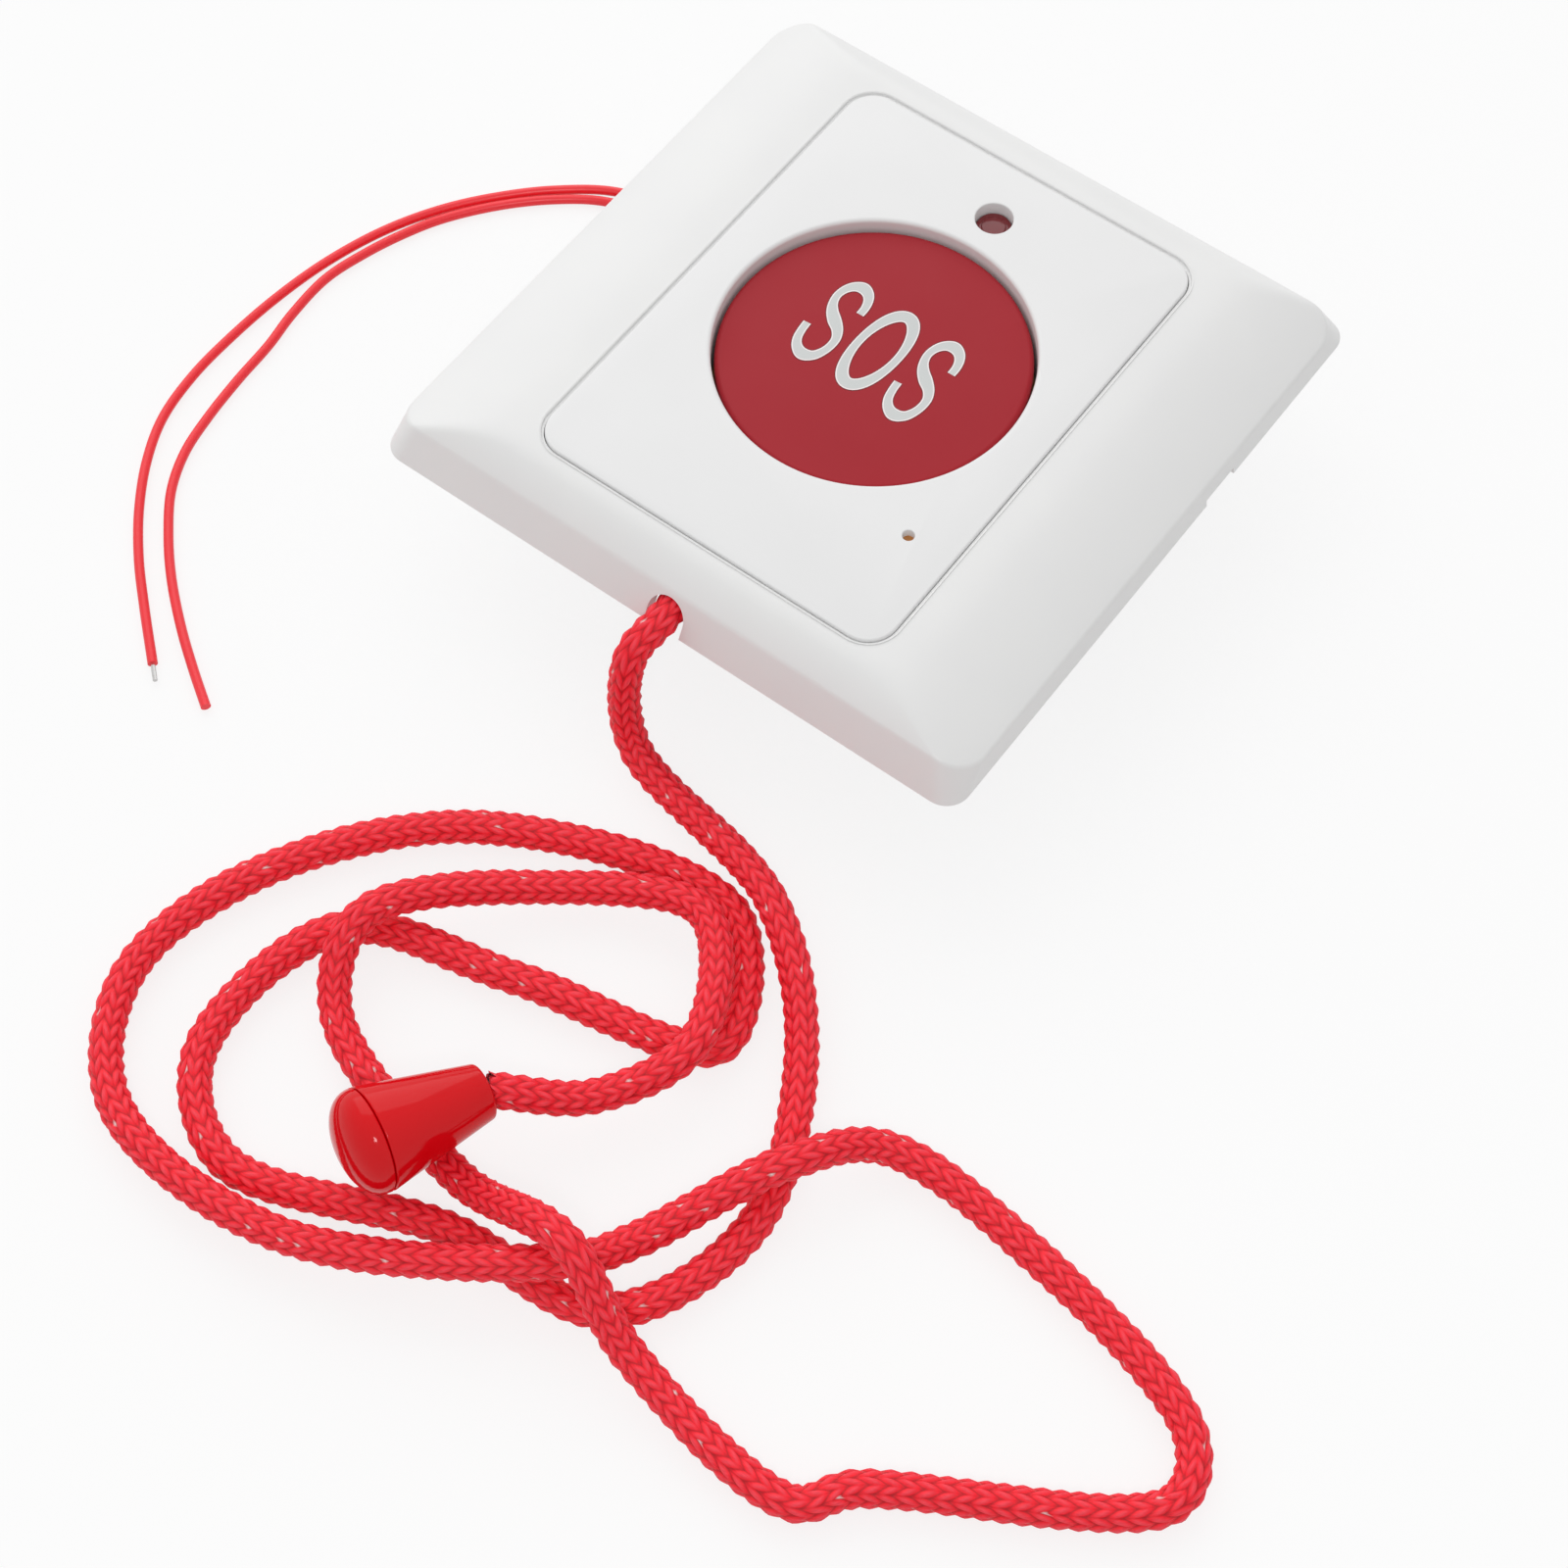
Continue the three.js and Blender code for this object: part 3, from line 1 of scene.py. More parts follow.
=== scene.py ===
# Looks of the emergency pull cord alarm: knitted cord, gloss knob, satin wall plate, red button.
# Lengths are in millimetres and become metres where a mesh is placed.
import math

import bmesh
import bpy
import numpy as np
from mathutils import Matrix, Vector


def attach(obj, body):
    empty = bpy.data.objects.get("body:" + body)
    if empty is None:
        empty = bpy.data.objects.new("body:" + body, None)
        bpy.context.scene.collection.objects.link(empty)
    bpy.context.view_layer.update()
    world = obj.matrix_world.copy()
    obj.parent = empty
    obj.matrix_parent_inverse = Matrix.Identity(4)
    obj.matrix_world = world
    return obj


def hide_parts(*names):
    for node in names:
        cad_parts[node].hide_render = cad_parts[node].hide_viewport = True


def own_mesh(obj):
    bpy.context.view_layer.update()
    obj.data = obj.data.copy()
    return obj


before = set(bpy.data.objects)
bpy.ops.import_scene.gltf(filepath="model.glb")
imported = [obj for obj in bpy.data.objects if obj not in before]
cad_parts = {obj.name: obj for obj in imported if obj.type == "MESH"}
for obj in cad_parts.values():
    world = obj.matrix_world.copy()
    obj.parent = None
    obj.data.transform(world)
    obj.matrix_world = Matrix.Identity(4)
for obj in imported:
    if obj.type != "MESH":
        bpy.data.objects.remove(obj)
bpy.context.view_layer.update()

MM = 0.001
WALL_Z = 18.0
FACE_Z = 25.4
BUTTON_TOP_Z = 24.0
BUTTON_CENTRE_Y = 0.7
BUTTON_R = 19.6
SMOOTH_ANGLE = 32.0
ROUTE_STEP = 0.35

# ---------------------------------------------------------------- routes, as in the part's source

CORD_DIAMETER = 4.3
CORD_ROUTE = [
    (0.7, -24.3, 19.6), (0.7, -37, 19.6), (0.6, -42.8, 19.5), (-0.3, -47.6, 16.8),
    (2.8, -51.7, 4.1), (29.4, -59.4, 5.9), (43, -72, 3), (50.9, -92.1, 2.5),
    (43.9, -109.3, 2.4), (23.5, -112.4, 2.4), (-2.2, -121.1, 2.4), (-13.3, -112.6, 2.4),
    (-10.7, -91.2, 2.4), (10.2, -83.7, 2.4), (34.6, -76.3, 2.4), (25.2, -61.6, 2.35),
    (-6.2, -70.9, 2.4), (-23.5, -91.9, 2.4), (-26.7, -110.2, 2.4), (-16.7, -123.4, 2.8),
    (9.2, -124.7, 4.6), (37.7, -108.9, 7.3), (41.7, -101.7, 4.4), (50.8, -84.7, 7.5),
    (57.4, -75.7, 3.7), (76.8, -75.5, 2.5), (103.4, -82.7, 2.4), (105.9, -89.9, 2.4),
    (77.6, -109.1, 2.5), (73.1, -114.3, 2.5), (49.4, -112.2, 4.7), (38.1, -108.3, 12.7),
    (21.2, -107.3, 4.3), (-3.8, -99.6, 3), (-7.5, -89.6, 7.3), (7.1, -72.3, 4.2),
    (23.7, -65.2, 5.9), (33.4, -79.6, 7.3), (27.8, -90.9, 5.6), (18.7, -98.5, 8.9),
]
WIRE_DIAMETER = 1.3
WIRE_ROUTES = [
    [
        (-8.3, 20, 11), (-13, 19.6, 9.8), (-19, 18.6, 6.8), (-24.5, 17.95, 5.6),
        (-29.5, 17.9, 5.3), (-34, 18.1, 3), (-39, 18.6, 0.9), (-46, 18.9, 0.7),
        (-54.5, 16.7, 0.7), (-61.3, 12, 0.7), (-66.8, 6.5, 0.7), (-71.6, 0.2, 0.7),
        (-75.5, -7.3, 0.7), (-78.2, -15.9, 0.7), (-79.6, -24.5, 0.7), (-80.1, -32.9, 0.7),
        (-79.9, -40.6, 0.7), (-78.5, -48, 0.7), (-75.6, -54.2, 0.7), (-71.2, -60.5, 0.7),
        (-66.1, -66.1, 0.7), (-60.9, -70.8, 0.7), (-54.1, -76.6, 0.7),
    ],
    [
        (-8.3, 15, 11), (-13, 15.4, 9.8), (-19, 15.9, 6.8), (-24.5, 16.2, 5.6),
        (-29.5, 16.2, 5.3), (-34, 16.2, 3), (-39, 16.5, 0.9), (-46, 16.8, 0.7),
        (-54.6, 14.5, 0.7), (-60.3, 10.7, 0.7), (-65.8, 5.3, 0.7), (-70.5, -1.1, 0.7),
        (-73, -6.2, 0.7), (-75, -11.8, 0.7), (-76.4, -18, 0.7), (-76.1, -25.3, 0.7),
        (-75.2, -30.9, 0.7), (-74.7, -37.5, 0.7), (-73.8, -44.5, 0.7), (-72.5, -50.3, 0.7),
        (-69.9, -55.8, 0.7), (-65.4, -61.3, 0.7), (-60.8, -65.8, 0.7), (-54.9, -70.5, 0.7),
        (-49.5, -74.2, 0.7), (-44.6, -77.3, 0.7),
    ],
]

# ---------------------------------------------------------------- materials


def srgb(hex_colour):
    """A linear colour from an sRGB hex value."""
    channels = [int(hex_colour[i:i + 2], 16) / 255 for i in (1, 3, 5)]
    return tuple(c / 12.92 if c <= 0.04045 else ((c + 0.055) / 1.055) ** 2.4 for c in channels) + (1.0,)


def add_node(tree, kind, inputs=None, **settings):
    """Adds a node with its settings; an input is a value or another node's output."""
    made = tree.nodes.new(kind)
    for name, value in settings.items():
        setattr(made, name, value)
    for name, value in (inputs or {}).items():
        if isinstance(value, bpy.types.NodeSocket):
            tree.links.new(value, made.inputs[name])
        else:
            made.inputs[name].default_value = value
    return made


def new_material(name, **sockets):
    """A material with its Principled shader's sockets set; returns it, its tree and its shader."""
    made = bpy.data.materials.new(name)
    made.use_nodes = True
    tree = made.node_tree
    shader = tree.nodes["Principled BSDF"]
    for socket, value in sockets.items():
        shader.inputs[socket.replace("_", " ")].default_value = value
    return made, tree, shader


def pattern_scale(size_mm):
    """The scale at which a noise has blotches of size_mm on the piece's own coordinates."""
    return 1 / (size_mm * MM)


CLOUD_MM = 14.0
GLOSS_CLOUD_MM = CLOUD_MM * 0.4


def moulded_plastic(name, low, high, gloss, grain_mm, grain_depth_mm, spec=0.5):
    """Injection moulded plastic: an even colour with faint cloudiness and a fine spark-eroded grain."""
    made, tree, shader = new_material(name, IOR=1.5, Specular_IOR_Level=spec)
    place = add_node(tree, "ShaderNodeTexCoord").outputs["Object"]
    cloud = add_node(tree, "ShaderNodeTexNoise", {"Vector": place, "Scale": pattern_scale(CLOUD_MM)})
    colour = add_node(tree, "ShaderNodeMix",
                      {"Factor": cloud.outputs["Fac"], 6: srgb(low), 7: srgb(high)}, data_type="RGBA")
    tree.links.new(colour.outputs[2], shader.inputs["Base Color"])
    patches = add_node(tree, "ShaderNodeTexNoise", {"Vector": place, "Scale": pattern_scale(GLOSS_CLOUD_MM)})
    spread = add_node(tree, "ShaderNodeMapRange",
                      {"Value": patches.outputs["Fac"], "To Min": gloss * 0.9, "To Max": gloss * 1.12})
    tree.links.new(spread.outputs["Result"], shader.inputs["Roughness"])
    sparks = add_node(tree, "ShaderNodeTexNoise",
                      {"Vector": place, "Scale": pattern_scale(grain_mm), "Detail": 3.0})
    grain = add_node(tree, "ShaderNodeBump", {"Height": sparks.outputs["Fac"], "Strength": 0.5,
                                              "Distance": grain_depth_mm * MM})
    tree.links.new(grain.outputs["Normal"], shader.inputs["Normal"])
    return made


def knit_material():
    """Knitted polyester cord: matt filament yarn, with painted shade making it deep red between the stitches and a
    painted highlight making it bright on their crowns.
    """
    made, tree, shader = new_material("knitted_polyester_cord", Roughness=0.5, IOR=1.5,
                                      Specular_IOR_Level=0.35, Sheen_Weight=0.05, Sheen_Roughness=0.4)
    crown = add_node(tree, "ShaderNodeAttribute", attribute_name="crown").outputs["Fac"]
    pin = add_node(tree, "ShaderNodeAttribute", attribute_name="pinhole").outputs["Fac"]
    # Painted light: the colour runs from painted shade in the grooves to a painted highlight on the stitch crowns,
    # following the crown height
    ramp = add_node(tree, "ShaderNodeValToRGB", {"Fac": crown})
    ramp.color_ramp.elements[0].color = srgb("#98000e")
    ramp.color_ramp.elements[1].color = srgb("#ff4656")
    middle = ramp.color_ramp.elements.new(0.45)
    middle.color = srgb("#ff192d")
    # Filament bundles run along each stitch: 0.16 mm streaks, drawn coarse enough to show.
    place = add_node(tree, "ShaderNodeUVMap", uv_map="stitch").outputs["UV"]
    stretched = add_node(tree, "ShaderNodeMapping", {"Vector": place, "Scale": (6.0, 1.2, 1.0)})
    streak = add_node(tree, "ShaderNodeTexNoise", {"Vector": stretched.outputs["Vector"], "Scale": 1.0,
                                                   "Detail": 2.0}).outputs["Fac"]
    shaded = add_node(tree, "ShaderNodeHueSaturation", {"Color": ramp.outputs["Color"]})
    lift = add_node(tree, "ShaderNodeMapRange", {"Value": streak, "To Min": 0.75, "To Max": 1.2})
    tree.links.new(lift.outputs["Result"], shaded.inputs["Value"])
    # Painted light: near-white dots at the pinholes stand for light showing through the gaps between the chains
    colour = add_node(tree, "ShaderNodeMix",
                      {"Factor": pin, 6: shaded.outputs["Color"], 7: srgb("#ffe6e4")}, data_type="RGBA")
    tree.links.new(colour.outputs[2], shader.inputs["Base Color"])
    bump = add_node(tree, "ShaderNodeBump", {"Height": streak, "Strength": 0.6, "Distance": 0.12 * MM})
    tree.links.new(bump.outputs["Normal"], shader.inputs["Normal"])
    return made


def metal(name, colour, roughness, scratch_mm):
    """Plated metal: a neutral reflection, broken by fine rolling marks."""
    made, tree, shader = new_material(name, Metallic=1.0)
    place = add_node(tree, "ShaderNodeTexCoord").outputs["Object"]
    marks = add_node(tree, "ShaderNodeTexNoise", {"Vector": place, "Scale": pattern_scale(scratch_mm),
                                                  "Detail": 3.0}).outputs["Fac"]
    mixed = add_node(tree, "ShaderNodeMix",
                     {"Factor": marks, 6: srgb(colour), 7: srgb("#d4d6d8")}, data_type="RGBA")
    tree.links.new(mixed.outputs[2], shader.inputs["Base Color"])
    spread = add_node(tree, "ShaderNodeMapRange", {"Value": marks, "To Min": roughness * 0.8,
                                                   "To Max": roughness * 1.3})
    tree.links.new(spread.outputs["Result"], shader.inputs["Roughness"])
    return made


def laminate():
    """Phenolic board: brown paper laminate with a cloudy, slightly fibrous colour."""
    made, tree, shader = new_material("phenolic_board", IOR=1.55, Roughness=0.5)
    place = add_node(tree, "ShaderNodeTexCoord").outputs["Object"]
    cloud = add_node(tree, "ShaderNodeTexNoise", {"Vector": place, "Scale": pattern_scale(1.6), "Detail": 5.0})
    mixed = add_node(tree, "ShaderNodeMix",
                     {"Factor": cloud.outputs["Fac"], 6: srgb("#9a6430"), 7: srgb("#bd8448")}, data_type="RGBA")
    tree.links.new(mixed.outputs[2], shader.inputs["Base Color"])
    strands = add_node(tree, "ShaderNodeTexNoise", {"Vector": place, "Scale": pattern_scale(0.3), "Detail": 4.0})
    fibre = add_node(tree, "ShaderNodeBump", {"Height": strands.outputs["Fac"], "Distance": 0.01 * MM})
    tree.links.new(fibre.outputs["Normal"], shader.inputs["Normal"])
    return made


MATERIALS = {
    # ABS with a satin mould finish: soft highlights along the crowned edges
    "frame": moulded_plastic("abs_satin_white", "#e6e6e6", "#ebebea", 0.33, 0.5, 0.004),
    # ABS with a finer matt mould finish: no clear reflections on the flat face
    "panel": moulded_plastic("abs_matt_white", "#e8e8e8", "#ececec", 0.42, 0.35, 0.005),
    "housing": moulded_plastic("abs_moulded_grey_white", "#dadada", "#e0e0e0", 0.45, 0.4, 0.006),
    # ABS button: matt dark red that lifts to pink where the room is reflected
    "button": moulded_plastic("abs_matt_red", "#a01d28", "#a7222d", 0.5, 0.3, 0.005, spec=0.22),
    # Polished ABS knob: clear saturated red with sharp window highlights
    "knob": moulded_plastic("abs_gloss_red", "#d4020e", "#de0713", 0.1, 2.5, 0.006, spec=0.22),
    # PVC insulation: smooth bright red
    "wire": moulded_plastic("pvc_insulation_red", "#f0202c", "#fa2e3a", 0.32, 0.8, 0.004),
    # Tinted epoxy lens of the lamp
    "lens": moulded_plastic("epoxy_lens_red", "#6e1a20", "#7d262b", 0.12, 3.0, 0.003),
    # Amber epoxy of a small component, only glimpsed through the pinhole
    "amber": moulded_plastic("epoxy_amber", "#b9763c", "#c98a4c", 0.3, 1.0, 0.004),
    # Nylon switch housings: dull near-black
    "black": moulded_plastic("nylon_black", "#1d1d1e", "#272728", 0.5, 0.3, 0.006),
    # Nylon terminal block: flat green
    "green": moulded_plastic("nylon_green", "#23683b", "#2f7d4a", 0.45, 0.3, 0.006),
    # Acetal lever and plunger: waxy off-white
    "white": moulded_plastic("acetal_white", "#d6d6d2", "#deded9", 0.4, 0.4, 0.005),
    # Resistor lacquer: smooth beige
    "lacquer": moulded_plastic("resistor_lacquer", "#c6ad7e", "#d3bd92", 0.35, 0.6, 0.01),
    # Moulded rubber grommet: dark, without a highlight
    "rubber": moulded_plastic("moulded_rubber", "#242424", "#303030", 0.75, 0.3, 0.01, spec=0.3),
    # Pad printing: a pale stroke, a lighter edge line that is a painted highlight, and a dark line outside it that
    # is painted shade
    "print_grey": moulded_plastic("pad_print_grey", "#c9cccb", "#d0d3d2", 0.45, 0.3, 0.003),
    "print_painted_highlight": moulded_plastic("pad_print_painted_highlight", "#f2e8e8", "#f7efef", 0.45, 0.3, 0.003),
    "print_painted_shade": moulded_plastic("pad_print_painted_shade", "#641318", "#6c171d", 0.5, 0.3, 0.003),
    # Zinc plated steel: soft grey reflections
    "steel": metal("zinc_plated_steel", "#a9abae", 0.3, 0.6),
    # Tinned copper strand: warm grey, slightly dull
    "copper": metal("tinned_copper", "#b4b0aa", 0.35, 0.2),
    "knit": knit_material(),
    "board": laminate(),
}

# ---------------------------------------------------------------- mesh helpers


def add_piece(name, mesh_data, body, slot, *materials, smooth_angle=SMOOTH_ANGLE, rides=True):
    """Makes an object of a bmesh in millimetres, and lets it ride on a body."""
    mesh = bpy.data.meshes.new(name)
    bmesh.ops.scale(mesh_data, vec=(MM, MM, MM), verts=mesh_data.verts)
    bmesh.ops.recalc_face_normals(mesh_data, faces=mesh_data.faces)
    mesh_data.to_mesh(mesh)
    mesh_data.free()
    mesh.shade_smooth()
    mesh.set_sharp_from_angle(angle=math.radians(smooth_angle))
    made = bpy.data.objects.new(name, mesh)
    bpy.context.collection.objects.link(made)
    for finish in materials:
        mesh.materials.append(MATERIALS[finish])
    if rides:
        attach(made, body)
    return made


def spun(profile, steps, centre=(0, 0, 0)):
    """A turned form about Z from a profile of (radius, height) points."""
    form = bmesh.new()
    points = [form.verts.new((r, 0, z)) for r, z in profile]
    edges = [form.edges.new(pair) for pair in zip(points, points[1:])]
    bmesh.ops.spin(form, geom=points + edges, cent=(0, 0, 0), axis=(0, 0, 1), angle=math.tau, steps=steps,
                   use_merge=True, use_duplicate=False)
    bmesh.ops.remove_doubles(form, verts=form.verts, dist=1e-4)
    bmesh.ops.translate(form, verts=form.verts, vec=centre)
    return form


def arc(centre_r, centre_z, radius, start, end, count):
    """Points of a round edge in a profile, from one angle to another in degrees."""
    angles = np.radians(np.linspace(start, end, count + 1))
    return [(centre_r + radius * math.cos(a), centre_z + radius * math.sin(a)) for a in angles]


def slab(width, height, corner, z0, z1, centre=(0, 0), segments=12, top_round=0.0):
    """A plate with round corners, and a rounded top edge if asked for."""
    form = bmesh.new()
    bmesh.ops.create_grid(form, x_segments=1, y_segments=1, size=0.5)
    bmesh.ops.scale(form, vec=(width, height, 1), verts=form.verts)
    if corner:
        bmesh.ops.bevel(form, geom=form.verts[:], affect="VERTICES", offset=corner, segments=segments,
                        profile=0.5, material=-1)
    bmesh.ops.translate(form, verts=form.verts, vec=(centre[0], centre[1], z0))
    raised = bmesh.ops.extrude_face_region(form, geom=form.faces[:])["geom"]
    upper = [v for v in raised if isinstance(v, bmesh.types.BMVert)]
    bmesh.ops.translate(form, verts=upper, vec=(0, 0, z1 - z0))
    if top_round:
        rim = [e for e in form.edges if all(abs(v.co.z - z1) < 1e-5 for v in e.verts)]
        bmesh.ops.bevel(form, geom=rim, affect="EDGES", offset=top_round, segments=3, profile=0.5, material=-1)
    bmesh.ops.recalc_face_normals(form, faces=form.faces)
    return form


def merged(forms):
    """Several bmeshes as one."""
    whole = forms[0]
    for form in forms[1:]:
        spare = bpy.data.meshes.new("spare")
        form.to_mesh(spare)
        form.free()
        whole.from_mesh(spare)
        bpy.data.meshes.remove(spare)
    return whole


def boolean(piece, form, operation):
    """Joins a bmesh in millimetres to a piece, or cuts it away, and keeps the result."""
    tool = add_piece("tool", form, None, None, rides=False)
    change = piece.modifiers.new("cut", "BOOLEAN")
    change.operation = operation
    change.solver = "EXACT"
    change.use_self = True
    change.object = tool
    evaluated = piece.evaluated_get(bpy.context.evaluated_depsgraph_get())
    result = bpy.data.meshes.new_from_object(evaluated)
    piece.modifiers.clear()
    old = piece.data
    piece.data = result
    result.name = piece.name
    bpy.data.meshes.remove(old)
    bpy.data.objects.remove(tool)


def finish_edges(piece):
    """Smooth shading that breaks at the piece's real edges."""
    piece.data.shade_smooth()
    piece.data.set_sharp_from_angle(angle=math.radians(SMOOTH_ANGLE))


# ---------------------------------------------------------------- tubes along a route


def smooth_route(points, step):
    """Centripetal Catmull-Rom curve through the points, walked in even steps."""
    fine = []
    spots = [np.array(p, float) for p in points]
    spots = [2 * spots[0] - spots[1]] + spots + [2 * spots[-1] - spots[-2]]
    for p0, p1, p2, p3 in zip(spots, spots[1:], spots[2:], spots[3:]):
        d0, d1, d2 = (np.linalg.norm(b - a) ** 0.5 for a, b in ((p0, p1), (p1, p2), (p2, p3)))
        t1 = ((p1 - p0) / d0 - (p2 - p0) / (d0 + d1) + (p2 - p1) / d1) * d1
        t2 = ((p2 - p1) / d1 - (p3 - p1) / (d1 + d2) + (p3 - p2) / d2) * d1
        for w in np.arange(0, 1, 0.01):
            fine.append(p1 + t1 * w + (3 * (p2 - p1) - 2 * t1 - t2) * w * w
                        + (2 * (p1 - p2) + t1 + t2) * w ** 3)
    fine = np.array(fine + [spots[-2]])
    walked = np.concatenate([[0], np.cumsum(np.linalg.norm(np.diff(fine, axis=0), axis=1))])
    count = int(round(walked[-1] / step)) + 1
    even = np.linspace(0, walked[-1], count)
    return np.stack([np.interp(even, walked, fine[:, k]) for k in range(3)], axis=1), even


def route_frames(line):
    """Two directions across the line at each point, carried along it without twist."""
    along = np.gradient(line, axis=0)
    along /= np.linalg.norm(along, axis=1)[:, None]
    side = np.empty_like(line)
    start = np.cross(along[0], (0, 0, 1.0))
    side[0] = start / np.linalg.norm(start)
    for i in range(1, len(line)):
        kept = side[i - 1] - along[i] * side[i - 1].dot(along[i])
        side[i] = kept / np.linalg.norm(kept)
    return side, np.cross(along, side)


def tube(name, points, body, material, columns, row_step, surface, smooth_angle=180.0):
    """A closed tube along a route. surface(along, around) gives shift along, radius and attributes."""
    line, even = smooth_route(points, ROUTE_STEP)
    side, up = route_frames(line)
    length = even[-1]
    rows = max(int(round(length / row_step)), 2)
    form = bmesh.new()
    bmesh.ops.create_grid(form, x_segments=columns, y_segments=rows, size=1)
    mesh = bpy.data.meshes.new(name)
    form.to_mesh(mesh)
    form.free()
    flat = np.empty(len(mesh.vertices) * 3)
    mesh.vertices.foreach_get("co", flat)
    flat = flat.reshape(-1, 3)
    around = np.round((flat[:, 0] + 1) / 2 * columns)
    row = np.round((flat[:, 1] + 1) / 2 * rows)
    shift, radius, attributes = surface(row * row_step, around / columns)
    place = np.clip(row * length / rows + shift, 0, length)
    angle = around / columns * math.tau
    centre = np.stack([np.interp(place, even, line[:, k]) for k in range(3)], axis=1)
    across = np.stack([np.interp(place, even, side[:, k]) for k in range(3)], axis=1)
    over = np.stack([np.interp(place, even, up[:, k]) for k in range(3)], axis=1)
    spot = centre + (across * np.cos(angle)[:, None] + over * np.sin(angle)[:, None]) * radius[:, None]
    mesh.vertices.foreach_set("co", (spot * MM).ravel())
    for label, values in attributes.items():
        layer = mesh.attributes.new(label, "FLOAT", "POINT")
        layer.data.foreach_set("value", values)
    corners = np.empty(len(mesh.loops), dtype=int)
    mesh.loops.foreach_get("vertex_index", corners)
    circumference = math.pi * CORD_DIAMETER
    uv = np.stack([around * circumference / columns, place], axis=1)[corners]
    mesh.uv_layers.new(name="stitch").data.foreach_set("uv", uv.ravel())
    form = bmesh.new()
    form.from_mesh(mesh)
    bmesh.ops.remove_doubles(form, verts=form.verts, dist=1e-7)
    ends = [e for e in form.edges if e.is_boundary]
    bmesh.ops.holes_fill(form, edges=ends, sides=0)
    bmesh.ops.recalc_face_normals(form, faces=form.faces)
    form.to_mesh(mesh)
    form.free()
    mesh.shade_smooth()
    if smooth_angle < 180:
        mesh.set_sharp_from_angle(angle=math.radians(smooth_angle))
    mesh.materials.append(MATERIALS[material])
    made = bpy.data.objects.new(name, mesh)
    bpy.context.collection.objects.link(made)
    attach(made, body)
    return made, line * MM, length * MM


# ---------------------------------------------------------------- camera

CAMERA_SPOT = (130.12, -188.97, 328.77)
CAMERA_AZIMUTH = 37.3376
CAMERA_ELEVATION = 60.8508
CAMERA_ROLL = -0.6241
LENS = 71.0


def add_camera():
    """The photograph's viewpoint: from the lower right, 61 degrees above the table."""
    data = bpy.data.cameras.new("camera")
    data.lens = LENS
    data.sensor_width = 36
    data.clip_start = 0.01
    made = bpy.data.objects.new("camera", data)
    bpy.context.collection.objects.link(made)
    turn = Matrix.Rotation(math.radians(CAMERA_AZIMUTH), 3, "Z")
    tilt = Matrix.Rotation(math.radians(90 - CAMERA_ELEVATION), 3, "X")
    roll = Matrix.Rotation(math.radians(CAMERA_ROLL), 3, "Z")
    made.matrix_world = (Matrix.Translation(Vector(CAMERA_SPOT) * MM) @ (turn @ tilt @ roll).to_4x4())
    bpy.context.scene.camera = made


add_camera()

# ---------------------------------------------------------------- cord and wires

CHAINS = 6
STITCH_PITCH = 2.05
ROWS_PER_STITCH = 4
COLUMNS_PER_CHAIN = 8
CHEVRON_RISE = 1.5
CROWN_R = 2.15
STITCH_DEPTH = 0.5


def knit_surface(along, around):
    """Six chains of V stitches: each leg swells at its middle and dives in at the chain's edges."""
    chain = around * CHAINS
    offset = np.abs(chain - np.floor(chain) - 0.5) * 2
    lane = np.floor(chain) % CHAINS
    wander = 0.12 * np.sin(along * 0.21 + lane * 1.7) + 0.08 * np.sin(along * 0.83 + lane * 2.9)
    phase = along / STITCH_PITCH
    ridge = 0.5 + 0.5 * np.cos(phase * math.tau)
    leg = np.sin(math.pi * np.clip(offset * 0.93, 0, 1)) ** 0.6
    leg = np.where(offset < 0.5, 0.5 + 0.5 * leg, leg)
    # The crown height shapes the relief and also drives the cord's painted shade in the grooves and painted
    # highlight on the crowns
    crown = leg * (0.22 + 0.78 * ridge ** 0.8)
    radius = CROWN_R - STITCH_DEPTH * (1 - crown) + 0.03 * np.sin(along * 0.37)
    # Pinhole marks: where the cord's colour paints near-white light seen through the gaps at the chain edges
    chance = np.sin(np.floor(phase) * 12.9898 + lane * 78.233) * 43758.5453
    chance = chance - np.floor(chance)
    at_edge = offset > 0.99
    pinhole = np.where(at_edge & (ridge < 0.1) & (chance > 0.9), 1.0, 0.0)
    shift = CHEVRON_RISE * (offset - 0.5) + wander
    return shift, radius, {"crown": crown, "pinhole": pinhole}


def plain_surface(radius):
    """A smooth round tube."""
    return lambda along, around: (np.zeros_like(along), np.full_like(along, radius), {})


pull_cord, cord_line, cord_length = tube(
    "pull_cord_knit", CORD_ROUTE, "cord", "knit", CHAINS * COLUMNS_PER_CHAIN,
    STITCH_PITCH / ROWS_PER_STITCH, knit_surface)
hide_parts("pull_cord")

for number, route in enumerate(WIRE_ROUTES, 1):
    wire, wire_line, wire_length = tube(
        f"lead_wire_{number}_skin", route, "plate", "wire", 16, 0.7,
        plain_surface(WIRE_DIAMETER / 2), smooth_angle=60.0)
    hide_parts(f"lead_wire_{number}")

# ---------------------------------------------------------------- knob

KNOB_SMALL_END = (18.55, -98.83, 9.0)
KNOB_AZIMUTH = -112.9
KNOB_ELEVATION = 10.9
KNOB_SMALL_R = 3.4
KNOB_LARGE_R = 6.2
KNOB_LENGTH = 14.0
KNOB_WALL = 1.2
KNOB_DOME_HEIGHT = 3.9


def lay_on_knob_axis(form):
    """Turns a form drawn along +Z onto the knob's axis."""
    azimuth = math.radians(KNOB_AZIMUTH)
    elevation = math.radians(KNOB_ELEVATION)
    axis = Vector((math.cos(azimuth) * math.cos(elevation), math.sin(azimuth) * math.cos(elevation),
                   math.sin(elevation)))
    turn = Vector((0, 0, 1)).rotation_difference(axis).to_matrix().to_4x4()
    bmesh.ops.transform(form, matrix=Matrix.Translation(KNOB_SMALL_END) @ turn, verts=form.verts)
    return form


